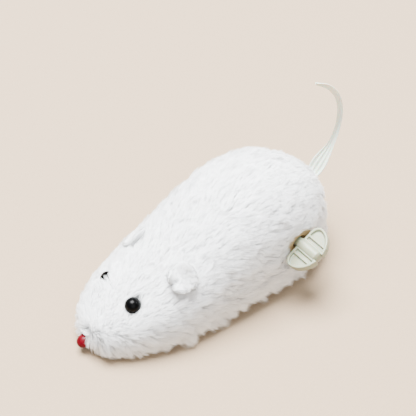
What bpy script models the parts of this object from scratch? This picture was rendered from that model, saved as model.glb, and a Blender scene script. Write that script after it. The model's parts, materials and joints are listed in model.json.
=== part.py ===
"""Clockwork mouse: a wind-up motor on wheels under a white plush cover.

Frame: origin at the centre of the base plate's flat underside, +Z up, the nose towards -Y, the mouse's
left side and its winding key towards +X. The floor lies GROUND_CLEARANCE below the origin. Heights of
the soft body are given above the floor, and lifted() turns them into heights in this frame.
"""

import math

import bmesh
import bpy
from mathutils import Matrix, Vector

MM = 0.001

# Overall sizes of the plush body, over its pile
BODY_LENGTH = 118.0 * MM
BODY_WIDTH = 54.0 * MM
BODY_HEIGHT = 51.5 * MM
COVER_THICKNESS = 3.0 * MM
RIM_REACH = 1.1 * COVER_THICKNESS
GROUND_CLEARANCE = 3.5 * MM

# Clearances
TOUCH_GAP = 0.3 * MM
RUNNING_GAP = 0.08 * MM
STUFFING_GAP = 0.7 * MM
MOVING_GAP = 0.6 * MM

# Face and tail
EYE_DIAMETER = 6.6 * MM
EYE_STEM_DIAMETER = 1.6 * MM
EYE_STEM_LENGTH = 5.0 * MM
EYE_ALONG = 0.2532
EYE_HEIGHT_SHARE = 0.952
NOSE_WIDTH = 6.0 * MM
NOSE_HEIGHT = 5.2 * MM
NOSE_DEPTH = 3.6 * MM
NOSE_STEM_DIAMETER = 2.0 * MM
NOSE_STEM_LENGTH = 5.0 * MM
NOSE_ALONG = 0.03
EAR_WIDTH = 11.0 * MM
EAR_HEIGHT = 11.5 * MM
EAR_THICKNESS = 3.0 * MM
EAR_ALONG = 0.361
EAR_HEIGHT_SHARE = 0.91
EAR_ROOT_SINK = 1.0 * MM
EAR_LEAN = (0.35, 0.69, 0.64)
EAR_FACING = (0.33, -0.73, 0.60)
TAIL_THICKNESS = 1.3 * MM
TAIL_STRIP_WIDTH = 2.2 * MM
TAIL_LEAF_WIDTH = 5.0 * MM
TAIL_ROOT_WIDTH = 2.6 * MM
TAIL_HEIGHT = 29.0 * MM

# Base plate
BASE_THICKNESS = 1.8 * MM
OPENING_COLUMNS = 2
OPENING_FIRST_STATION = 0.19
OPENING_LAST_STATION = 0.90
WINDOW_MARGIN = 0.9 * MM

# Gear train: teeth and modules
GEAR_MODULE = 0.6 * MM
GREAT_TEETH = 40
SECOND_PINION_TEETH = 10
SECOND_WHEEL_TEETH = 30
DRIVE_PINION_TEETH = 10
GEAR_BACKLASH = 0.16 * MM
PRESSURE_ANGLE = math.radians(20)
WHEEL_FACE = 1.8 * MM
PINION_FACE = 2.6 * MM

# Arbors and axles
WINDING_ARBOR_DIAMETER = 3.0 * MM
SECOND_ARBOR_DIAMETER = 2.0 * MM
DRIVE_AXLE_DIAMETER = 2.4 * MM
FRONT_AXLE_DIAMETER = 2.0 * MM
DRIVE_AXLE_Y = 27.0 * MM
WINDING_ARBOR_Y = 30.7 * MM
WINDING_ARBOR_HEIGHT = 24.8 * MM
FRONT_AXLE_Y = -31.0 * MM

# Running wheels
REAR_WHEEL_DIAMETER = 18.0 * MM
REAR_WHEEL_WIDTH = 4.0 * MM
TYRE_DEPTH = 2.3 * MM
FRONT_WHEEL_DIAMETER = 14.0 * MM
FRONT_WHEEL_WIDTH = 3.2 * MM
FRONT_WHEEL_INNER_X = 8.0 * MM
WHEEL_CASE_GAP = 1.6 * MM
LUG_THICKNESS = 1.8 * MM
WHEEL_HUB_DIAMETER = 5.0 * MM

# Motor case
CASE_INNER_HALF_WIDTH = 8.0 * MM
CASE_WALL = 1.4 * MM
CASE_MARGIN = 1.1 * MM
CASE_CORNER_RADIUS = 7.0 * MM
CASE_FOOT_LENGTH = 5.0 * MM
CASE_FOOT_HEIGHT = 5.0 * MM
CASE_BOSS_DIAMETER = 4.2 * MM
SCREW_DIAMETER = 1.7 * MM
SCREW_HEAD_DIAMETER = 3.4 * MM
SCREW_HEAD_HEIGHT = 1.0 * MM
BASE_SCREW_LENGTH = 5.0 * MM
CASE_SCREW_LENGTH = 13.0 * MM

# Mainspring, ratchet and click
SPRING_STRIP_WIDTH = 5.6 * MM
SPRING_STRIP_THICKNESS = 0.4 * MM
SPRING_TURNS = 8.5
SPRING_OUTER_DIAMETER = 24.0 * MM
RATCHET_TEETH = 12
RATCHET_DIAMETER = 9.0 * MM
RATCHET_TOOTH_DEPTH = 0.8 * MM
RATCHET_THICKNESS = 1.4 * MM
CLICK_WIDTH = 2.0 * MM
CLICK_PIVOT_RADIUS = 8.4 * MM
RIVET_DIAMETER = 1.2 * MM

# Winding key
KEY_SPAN = 20.0 * MM
KEY_LENGTH = 11.5 * MM
KEY_THICKNESS = 3.4 * MM
KEY_WEB = 1.2 * MM
KEY_RIM = 1.3 * MM
KEY_HUB_DIAMETER = 5.4 * MM
KEY_HUB_INSET = 4.5 * MM
KEY_HUB_SETBACK = 1.0 * MM
KEY_HEEL_SHARE = 0.28
KEY_CORNER_SHARE = 0.36
KEY_REST_ANGLE = math.radians(28)
KEY_BODY_GAP = 0.6 * MM
PILE_PRESS = 1.6 * MM
KEY_HOLE_DIAMETER = 9.0 * MM

ROUND_STEPS = 20
SMALL_STEPS = 10
BODY_RINGS = 23
BODY_COLUMNS = 24

# Shape of the plush body: along it from the nose (0) to the rump (1), its half width as a share of half
# the body width, and its top and underside as shares of the body height.
BODY_STATIONS = (
    (0.00, 0.00, 0.120, 0.120),
    (0.07, 0.27, 0.230, 0.050),
    (0.14, 0.49, 0.315, 0.035),
    (0.26, 0.76, 0.468, 0.035),
    (0.37, 0.90, 0.600, 0.035),
    (0.47, 0.95, 0.800, 0.035),
    (0.58, 1.00, 0.985, 0.035),
    (0.69, 0.97, 0.975, 0.035),
    (0.80, 0.77, 0.830, 0.045),
    (0.90, 0.45, 0.650, 0.120),
    (1.00, 0.00, 0.420, 0.420),
)
WIDEST_SHARE = 0.40
UPPER_ROUNDNESS = 0.90
LOWER_ROUNDNESS = 0.50

WHITE_PLUSH = ("white_plush", (0.90, 0.90, 0.89), 0.95, 0.0)
FIBRE_FILL = ("fibre_fill", (0.93, 0.93, 0.91), 1.0, 0.0)
BLACK_BEAD = ("black_bead", (0.01, 0.01, 0.012), 0.08, 0.0)
RED_NOSE = ("red_nose", (0.55, 0.02, 0.03), 0.25, 0.0)
PALE_STRIP = ("pale_strip", (0.80, 0.84, 0.78), 0.5, 0.0)
IVORY_PLASTIC = ("ivory_plastic", (0.84, 0.84, 0.70), 0.4, 0.0)
GREY_PLASTIC = ("grey_plastic", (0.30, 0.31, 0.33), 0.5, 0.0)
CASE_PLASTIC = ("case_plastic", (0.72, 0.73, 0.74), 0.45, 0.0)
GEAR_NYLON = ("gear_nylon", (0.86, 0.84, 0.76), 0.45, 0.0)
STEEL = ("steel", (0.62, 0.62, 0.63), 0.28, 1.0)
SPRING_STEEL = ("spring_steel", (0.28, 0.29, 0.33), 0.3, 1.0)
TYRE_RUBBER = ("tyre_rubber", (0.03, 0.03, 0.03), 0.85, 0.0)

# The local X, Y and Z of a flat outline or a turned piece become Y, Z and X of the model
ACROSS = Matrix(((0, 0, 1, 0), (1, 0, 0, 0), (0, 1, 0, 0), (0, 0, 0, 1)))


def clear_scene():
    for obj in list(bpy.data.objects):
        bpy.data.objects.remove(obj)


def new_collection(name, hidden):
    collection = bpy.data.collections.new(name)
    collection.hide_render = hidden
    bpy.context.scene.collection.children.link(collection)
    return collection


clear_scene()
PARTS = new_collection("clockwork_mouse", False)
CUTTERS = new_collection("cutters", True)


def material(finish):
    name, colour, roughness, metallic = finish
    found = bpy.data.materials.get(name)
    if found:
        return found
    made = bpy.data.materials.new(name)
    made.use_nodes = True
    shader = made.node_tree.nodes["Principled BSDF"]
    shader.inputs["Base Color"].default_value = (*colour, 1.0)
    shader.inputs["Roughness"].default_value = roughness
    shader.inputs["Metallic"].default_value = metallic
    return made


def keep(obj, finish, smooth=True):
    """Makes an object one of the mouse's pieces."""
    for collection in list(obj.users_collection):
        collection.objects.unlink(obj)
    PARTS.objects.link(obj)
    obj.data.materials.clear()
    obj.data.materials.append(material(finish))
    if smooth and obj.type == "MESH":
        obj.data.shade_smooth()
        obj.data.set_sharp_from_angle(angle=math.radians(35))
    return obj


def hide(obj):
    """Makes an object a cutter."""
    for collection in list(obj.users_collection):
        collection.objects.unlink(obj)
    CUTTERS.objects.link(obj)
    obj.hide_render = True
    obj.display_type = "WIRE"
    return obj


def boolean(obj, other, operation="DIFFERENCE", solver="EXACT"):
    modifier = obj.modifiers.new(operation.lower(), "BOOLEAN")
    modifier.operation = operation
    modifier.solver = solver
    modifier.object = other
    return obj


def carve(obj, other, operation="DIFFERENCE"):
    """A Boolean between two closed meshes whose faces nearly touch, where EXACT leaves gaps."""
    return boolean(obj, other, operation, "MANIFOLD")


def object_from(name, mesh):
    obj = bpy.data.objects.new(name, mesh)
    bpy.context.scene.collection.objects.link(obj)
    return obj


def evaluated_mesh(obj):
    bpy.context.view_layer.update()
    graph = bpy.context.evaluated_depsgraph_get()
    return bpy.data.meshes.new_from_object(obj.evaluated_get(graph))


def baked(obj):
    """The object as a plain mesh: its modifiers are applied and its matrix goes into the points."""
    name = obj.name
    matrix = obj.matrix_world.copy()
    mesh = evaluated_mesh(obj)
    work = bmesh.new()
    work.from_mesh(mesh)
    bmesh.ops.remove_doubles(work, verts=work.verts, dist=1e-7)
    work.transform(matrix)
    work.to_mesh(mesh)
    work.free()
    bpy.data.objects.remove(obj)
    return object_from(name, mesh)


def plate(name, outline, x_low, x_high, holes=()):
    """A flat piece across the mouse: outlines in (Y, Z), filled and extruded from x_low to x_high."""
    curve = bpy.data.curves.new(name, "CURVE")
    curve.dimensions = "2D"
    curve.fill_mode = "BOTH"
    curve.extrude = (x_high - x_low) / 2
    for loop in (outline, *holes):
        spline = curve.splines.new("POLY")
        spline.points.add(len(loop) - 1)
        for point, (y, z) in zip(spline.points, loop):
            point.co = (y, z, 0, 1)
        spline.use_cyclic_u = True
    obj = object_from(name, curve)
    obj.matrix_world = Matrix.Translation(((x_low + x_high) / 2, 0, 0)) @ ACROSS
    return baked(obj)


def floor_plate(name, outline, z_low, z_high):
    """A flat piece parallel to the floor: an outline in (X, Y), filled and extruded upwards."""
    curve = bpy.data.curves.new(name, "CURVE")
    curve.dimensions = "2D"
    curve.fill_mode = "BOTH"
    curve.extrude = (z_high - z_low) / 2
    spline = curve.splines.new("POLY")
    spline.points.add(len(outline) - 1)
    for point, (x, y) in zip(spline.points, outline):
        point.co = (x, y, 0, 1)
    spline.use_cyclic_u = True
    obj = object_from(name, curve)
    obj.matrix_world = Matrix.Translation((0, 0, (z_low + z_high) / 2))
    return baked(obj)


def circle(centre, radius, steps=ROUND_STEPS):
    y, z = centre
    turns = [2 * math.pi * step / steps for step in range(steps)]
    return [(y + radius * math.cos(turn), z + radius * math.sin(turn)) for turn in turns]


def lathe(name, profile, matrix, steps=ROUND_STEPS, bored=False):
    """A turned piece, closed on its axis, or round a bore.

    The profile's (radius, height) points run from the top down its outer side.
    """
    mesh = bpy.data.meshes.new(name)
    points = [(radius, 0, height) for radius, height in profile]
    edges = [(i, i + 1) for i in range(len(points) - 1)]
    if bored:
        edges.append((len(points) - 1, 0))
    mesh.from_pydata(points, edges, [])
    obj = object_from(name, mesh)
    screw = obj.modifiers.new("turn", "SCREW")
    screw.steps = screw.render_steps = steps
    screw.use_merge_vertices = True
    screw.merge_threshold = 1e-6
    obj.matrix_world = matrix
    return baked(obj)


def across(x, centre):
    """The frame of a turned piece whose axis runs along +X from this x, through this (Y, Z) centre."""
    return Matrix.Translation((x, centre[0], centre[1])) @ ACROSS


def rod_profile(radius, length, bevel=0.0):
    profile = [(0, length)]
    if bevel:
        profile += [(radius - bevel, length), (radius, length - bevel), (radius, bevel), (radius - bevel, 0)]
    else:
        profile += [(radius, length), (radius, 0)]
    return [*profile, (0, 0)]


def rod(name, diameter, x_low, x_high, centre, bevel=0.0, steps=ROUND_STEPS):
    return lathe(name, rod_profile(diameter / 2, x_high - x_low, bevel), across(x_low, centre), steps)


def ring(name, outer, inner, x_low, x_high, centre, bevel=0.0):
    """A round piece with a bore, turned as a closed profile."""
    width = x_high - x_low
    profile = [(inner, width), (outer - bevel, width), (outer, width - bevel)]
    profile += [(outer, bevel), (outer - bevel, 0), (inner, 0)]
    if not bevel:
        profile = [(inner, width), (outer, width), (outer, 0), (inner, 0)]
    return lathe(name, profile, across(x_low, centre), bored=True)


def box(name, low, high):
    bpy.ops.mesh.primitive_cube_add(size=1)
    obj = bpy.context.active_object
    obj.name = name
    low, high = Vector(low), Vector(high)
    obj.data.transform(Matrix.Translation((low + high) / 2) @ Matrix.Diagonal((*(high - low), 1)))
    return obj


def upright_cutter(name, diameter, x, y, z_low, z_high):
    profile = rod_profile(diameter / 2, z_high - z_low)
    return hide(lathe(name, profile, Matrix.Translation((x, y, z_low)), SMALL_STEPS))


def side_cutter(name, diameter, x_low, x_high, centre, steps=ROUND_STEPS):
    return hide(rod(name, diameter, x_low, x_high, centre, 0.0, steps))


# ---------------------------------------------------------------- the plush body's shape


def lifted(height):
    """A height above the floor, in the model's frame."""
    return height - GROUND_CLEARANCE


def station(along, column):
    """One column of BODY_STATIONS at this place along the body, on a smooth curve through the rows."""
    rows = BODY_STATIONS
    last = len(rows) - 1
    i = max(k for k in range(last) if rows[k][0] <= along + 1e-9)
    before, start, end, after = rows[max(i - 1, 0)], rows[i], rows[i + 1], rows[min(i + 2, last)]
    span = end[0] - start[0]
    t = (along - start[0]) / span
    slope_start = (end[column] - before[column]) / (end[0] - before[0]) * span
    slope_end = (after[column] - start[column]) / (after[0] - start[0]) * span
    blend_start = 2 * t**3 - 3 * t**2 + 1
    blend_end = 3 * t**2 - 2 * t**3
    value = blend_start * start[column] + blend_end * end[column]
    return value + (t**3 - 2 * t**2 + t) * slope_start + (t**3 - t**2) * slope_end


def body_y(along):
    """The ends are round because the stations crowd together there like the cosine of an angle."""
    return -BODY_LENGTH / 2 * math.cos(math.pi * along)


def body_point(along, angle):
    """A point of the pile's outer surface. The angle runs from 0, below, to pi, on top, up the left side."""
    half_width = station(along, 1) * BODY_WIDTH / 2
    top = station(along, 2) * BODY_HEIGHT
    bottom = station(along, 3) * BODY_HEIGHT
    widest = bottom + WIDEST_SHARE * (top - bottom)
    sine, cosine = math.sin(angle), math.cos(angle)
    power = LOWER_ROUNDNESS if cosine > 0 else UPPER_ROUNDNESS
    reach = bottom - widest if cosine > 0 else top - widest
    x = half_width * math.copysign(abs(sine) ** power, sine)
    z = widest + reach * abs(cosine) ** power
    return Vector((x, body_y(along), lifted(z)))


def body_normal(along, angle):
    """The outward direction of the pile's surface there."""
    step = 1e-3
    lengthwise = body_point(along + step, angle) - body_point(along - step, angle)
    around = body_point(along, angle + step) - body_point(along, angle - step)
    return lengthwise.cross(around).normalized()


def body_loft(offset, rings=BODY_RINGS, columns=BODY_COLUMNS):
    """The closed body surface in a bmesh, moved out by this offset along its normals."""
    work = bmesh.new()
    grid = []
    for i in range(1, rings):
        row = [body_point(i / rings, 2 * math.pi * j / columns) for j in range(columns)]
        grid.append([work.verts.new(point) for point in row])
    nose_pole = work.verts.new(body_point(0.0, 0.0))
    rump_pole = work.verts.new(body_point(1.0, 0.0))
    for j in range(columns):
        k = (j + 1) % columns
        work.faces.new((nose_pole, grid[0][j], grid[0][k]))
        work.faces.new((rump_pole, grid[-1][k], grid[-1][j]))
        for near, far in zip(grid, grid[1:]):
            work.faces.new((near[j], far[j], far[k], near[k]))
    bmesh.ops.recalc_face_normals(work, faces=work.faces)
    work.normal_update()
    moves = [(vert, vert.normal * offset) for vert in work.verts]
    for vert, move in moves:
        vert.co += move
    return work, grid


def body_solid(name, offset, rings=BODY_RINGS, columns=BODY_COLUMNS):
    work, _ = body_loft(offset, rings, columns)
    mesh = bpy.data.meshes.new(name)
    work.to_mesh(mesh)
    work.free()
    return object_from(name, mesh)


def opening_rings():
    first = math.ceil(OPENING_FIRST_STATION * BODY_RINGS)
    last = math.floor(OPENING_LAST_STATION * BODY_RINGS)
    return first, last


def open_loft():
    """The body surface without its underside, which the base plate closes."""
    work, grid = body_loft(0.0)
    first, last = opening_rings()
    removed = set()
    for i in range(first, last):
        for j in range(-OPENING_COLUMNS, OPENING_COLUMNS):
            corners = {grid[i - 1][j], grid[i - 1][j + 1], grid[i][j], grid[i][j + 1]}
            removed |= {face for face in grid[i - 1][j].link_faces if corners == set(face.verts)}
    bmesh.ops.delete(work, geom=list(removed), context="FACES")
    work.normal_update()
    return work, grid


def opening_rim():
    """The underside opening as (half width, y) at each ring, on the inner side of the fabric."""
    work, grid = open_loft()
    first, last = opening_rings()
    rim = []
    for i in range(first, last + 1):
        vert = grid[i - 1][OPENING_COLUMNS]
        inner = vert.co - vert.normal * RIM_REACH
        rim.append([min(vert.co.x, inner.x), vert.co.y])
    ends = []
    for i in (first, last):
        middle = [grid[i - 1][j] for j in range(-OPENING_COLUMNS, OPENING_COLUMNS + 1)]
        outer = [vert.co.y for vert in middle]
        inner = [(vert.co - vert.normal * RIM_REACH).y for vert in middle]
        ends.append(outer + inner)
    rim[0][1], rim[-1][1] = max(ends[0]), min(ends[1])
    work.free()
    return rim


# ---------------------------------------------------------------- places worked out from the sizes

DRIVE_AXLE = (DRIVE_AXLE_Y, REAR_WHEEL_DIAMETER / 2 - GROUND_CLEARANCE)
WINDING_ARBOR = (WINDING_ARBOR_Y, lifted(WINDING_ARBOR_HEIGHT))
FRONT_AXLE = (FRONT_AXLE_Y, FRONT_WHEEL_DIAMETER / 2 - GROUND_CLEARANCE)


def meeting_point(first, first_distance, second, second_distance):
    """The point at these distances from two centres, on the side towards the nose."""
    gap = math.dist(first, second)
    along = (first_distance**2 - second_distance**2 + gap**2) / (2 * gap)
    aside = math.sqrt(first_distance**2 - along**2)
    unit = ((second[0] - first[0]) / gap, (second[1] - first[1]) / gap)
    return (first[0] + unit[0] * along - unit[1] * aside, first[1] + unit[1] * along + unit[0] * aside)


FIRST_MESH = (GREAT_TEETH + SECOND_PINION_TEETH) * GEAR_MODULE / 2
SECOND_MESH = (SECOND_WHEEL_TEETH + DRIVE_PINION_TEETH) * GEAR_MODULE / 2
SECOND_ARBOR = meeting_point(DRIVE_AXLE, SECOND_MESH, WINDING_ARBOR, FIRST_MESH)

# Where each layer of the motor lies along X
GREAT_X = 1.0 * MM
SECOND_WHEEL_X = 4.4 * MM
RATCHET_X = GREAT_X - TOUCH_GAP - RATCHET_THICKNESS
SPRING_X = -CASE_INNER_HALF_WIDTH + MOVING_GAP
PINION_OVERHANG = (PINION_FACE - WHEEL_FACE) / 2
CASE_OUTER_HALF_WIDTH = CASE_INNER_HALF_WIDTH + CASE_WALL
REAR_WHEEL_INNER_X = CASE_OUTER_HALF_WIDTH + WHEEL_CASE_GAP
REAR_WHEEL_OUTER_X = REAR_WHEEL_INNER_X + REAR_WHEEL_WIDTH
FRONT_WHEEL_OUTER_X = FRONT_WHEEL_INNER_X + FRONT_WHEEL_WIDTH
LUG_OUTER_X = FRONT_WHEEL_INNER_X - MOVING_GAP
LUG_INNER_X = LUG_OUTER_X - LUG_THICKNESS


def flank_x(y, z):
    """How far the pile's surface stands from the middle plane at this (Y, Z)."""
    along = math.acos(max(-1.0, min(1.0, -2 * y / BODY_LENGTH))) / math.pi
    low, high = 0.0, math.pi
    for _ in range(40):
        middle = (low + high) / 2
        if body_point(along, middle).z < z:
            low = middle
        else:
            high = middle
    return body_point(along, low).x


def key_reach():
    """The furthest that the pile stands out under the circle that the key's wings sweep."""
    reach = 0.0
    for step in range(24):
        turn = 2 * math.pi * step / 24
        y = WINDING_ARBOR[0] + KEY_SPAN / 2 * math.cos(turn)
        z = WINDING_ARBOR[1] + KEY_SPAN / 2 * math.sin(turn)
        reach = max(reach, flank_x(y, z))
    return reach


# The pile is pressed flat behind the key, so that the bow turns close to the flank.
PRESSED_X = key_reach() - PILE_PRESS
KEY_BOW_X = PRESSED_X + KEY_BODY_GAP
KEY_HUB_X = KEY_BOW_X - KEY_HUB_INSET
KEY_END_X = KEY_BOW_X + KEY_LENGTH

# The gears and the mainspring fix the inside of the motor case
GREAT_TIP = GREAT_TEETH * GEAR_MODULE / 2 + GEAR_MODULE
SECOND_TIP = SECOND_WHEEL_TEETH * GEAR_MODULE / 2 + GEAR_MODULE
DRIVE_TIP = DRIVE_PINION_TEETH * GEAR_MODULE / 2 + GEAR_MODULE
MOTOR_REACH = max(GREAT_TIP, SPRING_OUTER_DIAMETER / 2 + RIVET_DIAMETER)
CASE_FRONT = min(SECOND_ARBOR[0] - SECOND_TIP, WINDING_ARBOR[0] - MOTOR_REACH) - CASE_MARGIN
CASE_BACK = WINDING_ARBOR[0] + MOTOR_REACH + CASE_MARGIN
CASE_TOP = WINDING_ARBOR[1] + MOTOR_REACH + CASE_MARGIN
CASE_BOTTOM = BASE_THICKNESS + TOUCH_GAP
CASE_SCREW_PLACES = (
    (CASE_FRONT + CASE_BOSS_DIAMETER * 0.9, CASE_TOP - CASE_BOSS_DIAMETER * 1.05),
    (CASE_BACK - CASE_BOSS_DIAMETER * 0.55, CASE_BOTTOM + CASE_BOSS_DIAMETER * 1.1),
)
FOOT_CENTRES = (CASE_FRONT - CASE_WALL - CASE_FOOT_LENGTH / 2, CASE_BACK + CASE_WALL + CASE_FOOT_LENGTH / 2)
FOOT_SCREW_X = 5.0 * MM
FOOT_REACH = 3.0 * MM

# ---------------------------------------------------------------- the soft pieces


def surface_spot(along, height_share):
    """The angle round the body, on the left, at which its surface has this share of the local height."""
    top = station(along, 2) * BODY_HEIGHT
    wanted = lifted(top * height_share)
    low, high = 0.0, math.pi
    for _ in range(40):
        middle = (low + high) / 2
        if body_point(along, middle).z < wanted:
            low = middle
        else:
            high = middle
    return low


EYE_ANGLE = surface_spot(EYE_ALONG, EYE_HEIGHT_SHARE)
EAR_ANGLE = surface_spot(EAR_ALONG, EAR_HEIGHT_SHARE)


def outward_frame(place, outward, up=Vector((0, 0, 1))):
    """A frame at this place whose local Z points outward."""
    side = up.cross(outward).normalized()
    upright = outward.cross(side)
    matrix = Matrix((side, upright, outward)).transposed().to_4x4()
    matrix.translation = place
    return matrix


def mirrored(name, source):
    """The right-hand copy of a left-hand piece."""
    mesh = evaluated_mesh(source)
    work = bmesh.new()
    work.from_mesh(mesh)
    work.transform(Matrix.Diagonal((-1, 1, 1, 1)))
    bmesh.ops.reverse_faces(work, faces=work.faces)
    work.to_mesh(mesh)
    work.free()
    return object_from(name, mesh)


def eye_profile(radius, stem_radius, stem_length):
    """A bead on a stem: its ball from the front down, then the stem."""
    meet = math.acos(-math.sqrt(max(0.0, 1 - (stem_radius / radius) ** 2)))
    steps = 8
    turns = [meet * i / steps for i in range(steps + 1)]
    profile = [(radius * math.sin(turn), radius * math.cos(turn)) for turn in turns]
    return [*profile, (stem_radius, -stem_length), (0, -stem_length)]


def build_eyes():
    place = body_point(EYE_ALONG, EYE_ANGLE)
    outward = body_normal(EYE_ALONG, EYE_ANGLE)
    centre = place - outward * EYE_DIAMETER * 0.12
    frame = outward_frame(centre, outward)
    radius = EYE_DIAMETER / 2
    stem = EYE_STEM_DIAMETER / 2
    end = radius + EYE_STEM_LENGTH
    eye = keep(lathe("eye_left", eye_profile(radius, stem, end), frame, 16), BLACK_BEAD)
    other = keep(mirrored("eye_right", eye), BLACK_BEAD)
    sockets = []
    for side, bead in (("left", eye), ("right", other)):
        profile = eye_profile(radius + TOUCH_GAP, stem + TOUCH_GAP, end + TOUCH_GAP)
        socket = lathe(f"eye_socket_{side}", profile, frame, 16)
        if side == "right":
            left_socket = socket
            socket = mirrored("eye_socket_mirrored", left_socket)
            bpy.data.objects.remove(left_socket)
        sockets.append(hide(socket))
    return sockets


def nose_profile(width, depth, stem_radius, stem_length):
    """A domed nose, flat behind, with a stem."""
    steps = 5
    turns = [math.pi / 2 * i / steps for i in range(steps + 1)]
    profile = [(width / 2 * math.sin(turn), depth * math.cos(turn)) for turn in turns]
    back = -depth * 0.16
    stem = [(stem_radius, back), (stem_radius, -stem_length), (0, -stem_length)]
    return [*profile, (width / 2 * 0.9, back), *stem]


def build_nose():
    place = body_point(NOSE_ALONG, 0.0)
    outward = Vector((0, -1, -0.15)).normalized()
    squash = Matrix.Diagonal((1, NOSE_HEIGHT / NOSE_WIDTH, 1, 1))
    seat = place + Vector((0, TOUCH_GAP, 0))
    frame = outward_frame(seat, outward) @ squash
    stem = NOSE_STEM_DIAMETER / 2
    profile = nose_profile(NOSE_WIDTH, NOSE_DEPTH, stem, NOSE_STEM_LENGTH)
    keep(lathe("nose", profile, frame, 16), RED_NOSE)
    wider = nose_profile(
        NOSE_WIDTH + 2 * TOUCH_GAP, NOSE_DEPTH + TOUCH_GAP, stem + TOUCH_GAP, NOSE_STEM_LENGTH + TOUCH_GAP
    )
    socket = lathe("nose_socket", wider, frame @ Matrix.Translation((0, 0, -TOUCH_GAP * 0.5)), 16)
    return hide(socket)


def build_ears():
    """A soft flap standing on each side of the head, leaning out and back."""
    place = body_point(EAR_ALONG, EAR_ANGLE)
    lean = Vector(EAR_LEAN).normalized()
    facing = Vector(EAR_FACING)
    facing = (facing - lean * facing.dot(lean)).normalized()
    side = facing.cross(lean)
    frame = Matrix((side, facing, lean)).transposed().to_4x4()
    frame.translation = place + lean * (EAR_HEIGHT / 2 - EAR_ROOT_SINK)
    bpy.ops.mesh.primitive_uv_sphere_add(segments=16, ring_count=8, radius=0.5)
    flap = bpy.context.active_object
    flap.name = "ear_left"
    flap.data.transform(frame @ Matrix.Diagonal((EAR_WIDTH, EAR_THICKNESS, EAR_HEIGHT, 1)))
    guard = hide(body_solid("ear_guard", TOUCH_GAP))
    flap = keep(baked(boolean(flap, guard)), WHITE_PLUSH)
    keep(mirrored("ear_right", flap), WHITE_PLUSH)


def tail_path():
    """The tail's middle line in the (Y, Z) plane: out of the rump, back and up, then forward over it."""
    root = (BODY_LENGTH / 2, lifted(TAIL_HEIGHT))
    offsets = ((-9.0, -2.5), (-4.5, -1.5), (0, 0), (4.5, 5.0), (9.0, 10.5), (12.0, 17.0), (13.2, 24.5))
    offsets += ((12.4, 32.0), (9.4, 39.0), (4.2, 45.0), (-2.2, 49.2))
    return [(root[0] + y * MM, root[1] + z * MM) for y, z in offsets]


def curve_through(points, per_span):
    """A smooth curve through points in a plane."""
    found = []
    for i in range(len(points) - 1):
        before, start, end = points[max(i - 1, 0)], points[i], points[i + 1]
        after = points[min(i + 2, len(points) - 1)]
        for step in range(per_span):
            t = step / per_span
            weights = (-t + 2 * t**2 - t**3, 2 - 5 * t**2 + 3 * t**3, t + 4 * t**2 - 3 * t**3, t**3 - t**2)
            rows = (before, start, end, after)
            found.append(tuple(sum(w * row[k] for w, row in zip(weights, rows)) / 2 for k in (0, 1)))
    return [*found, points[-1]]


def tail_width(share):
    """A narrow root, a leaf-shaped stretch outside the rump, then a narrow strip to the tip."""
    leaf = math.exp(-(((share - 0.30) / 0.10) ** 2)) * (TAIL_LEAF_WIDTH - TAIL_STRIP_WIDTH)
    root = TAIL_ROOT_WIDTH - TAIL_STRIP_WIDTH if share < 0.15 else 0.0
    tip = 1.0 if share < 0.94 else 1.0 - 0.5 * (share - 0.94) / 0.06
    return (TAIL_STRIP_WIDTH + leaf + root) * tip


def tail_loft(name, path, grow, first, last):
    """A flat strip of oval section swept along the path, between two shares of its length."""
    sides = 6
    count = len(path) - 1
    work = bmesh.new()
    rings = []
    for i, (y, z) in enumerate(path):
        share = i / count
        if not first <= share <= last:
            continue
        ahead, behind = path[min(i + 1, count)], path[max(i - 1, 0)]
        run = Vector((0, ahead[0] - behind[0], ahead[1] - behind[1])).normalized()
        flat = Vector((0, -run.z, run.y))
        half_width = tail_width(share) / 2 + grow
        half_depth = TAIL_THICKNESS / 2 + grow
        turns = [2 * math.pi * k / sides for k in range(sides)]
        centre = Vector((0, y, z))
        wide = Vector((half_width, 0, 0))
        row = [centre + wide * math.cos(a) + flat * half_depth * math.sin(a) for a in turns]
        rings.append([work.verts.new(point) for point in row])
    for near, far in zip(rings, rings[1:]):
        for k in range(sides):
            m = (k + 1) % sides
            work.faces.new((near[k], near[m], far[m], far[k]))
    work.faces.new(rings[0][::-1])
    work.faces.new(rings[-1])
    bmesh.ops.recalc_face_normals(work, faces=work.faces)
    mesh = bpy.data.meshes.new(name)
    work.to_mesh(mesh)
    work.free()
    return object_from(name, mesh)


def build_tail():
    path = curve_through(tail_path(), 3)
    keep(tail_loft("tail", path, 0.0, 0.0, 1.0), PALE_STRIP)
    inner = [(path[0][0] - TOUCH_GAP, path[0][1] - TOUCH_GAP * 0.2), *path[1:]]
    return hide(tail_loft("tail_hole", inner, TOUCH_GAP, 0.0, 0.3))


def build_cover(cutters):
    """The plush skin: the body surface without its underside, thickened inwards, with its holes."""
    work, _ = open_loft()
    mesh = bpy.data.meshes.new("plush_cover")
    work.to_mesh(mesh)
    work.free()
    cover = object_from("plush_cover", mesh)
    shell = cover.modifiers.new("shell", "SOLIDIFY")
    shell.thickness = COVER_THICKNESS
    shell.offset = -1
    shell.use_even_offset = False
    for cutter in cutters:
        boolean(cover, cutter)
    return keep(cover, WHITE_PLUSH)


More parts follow.
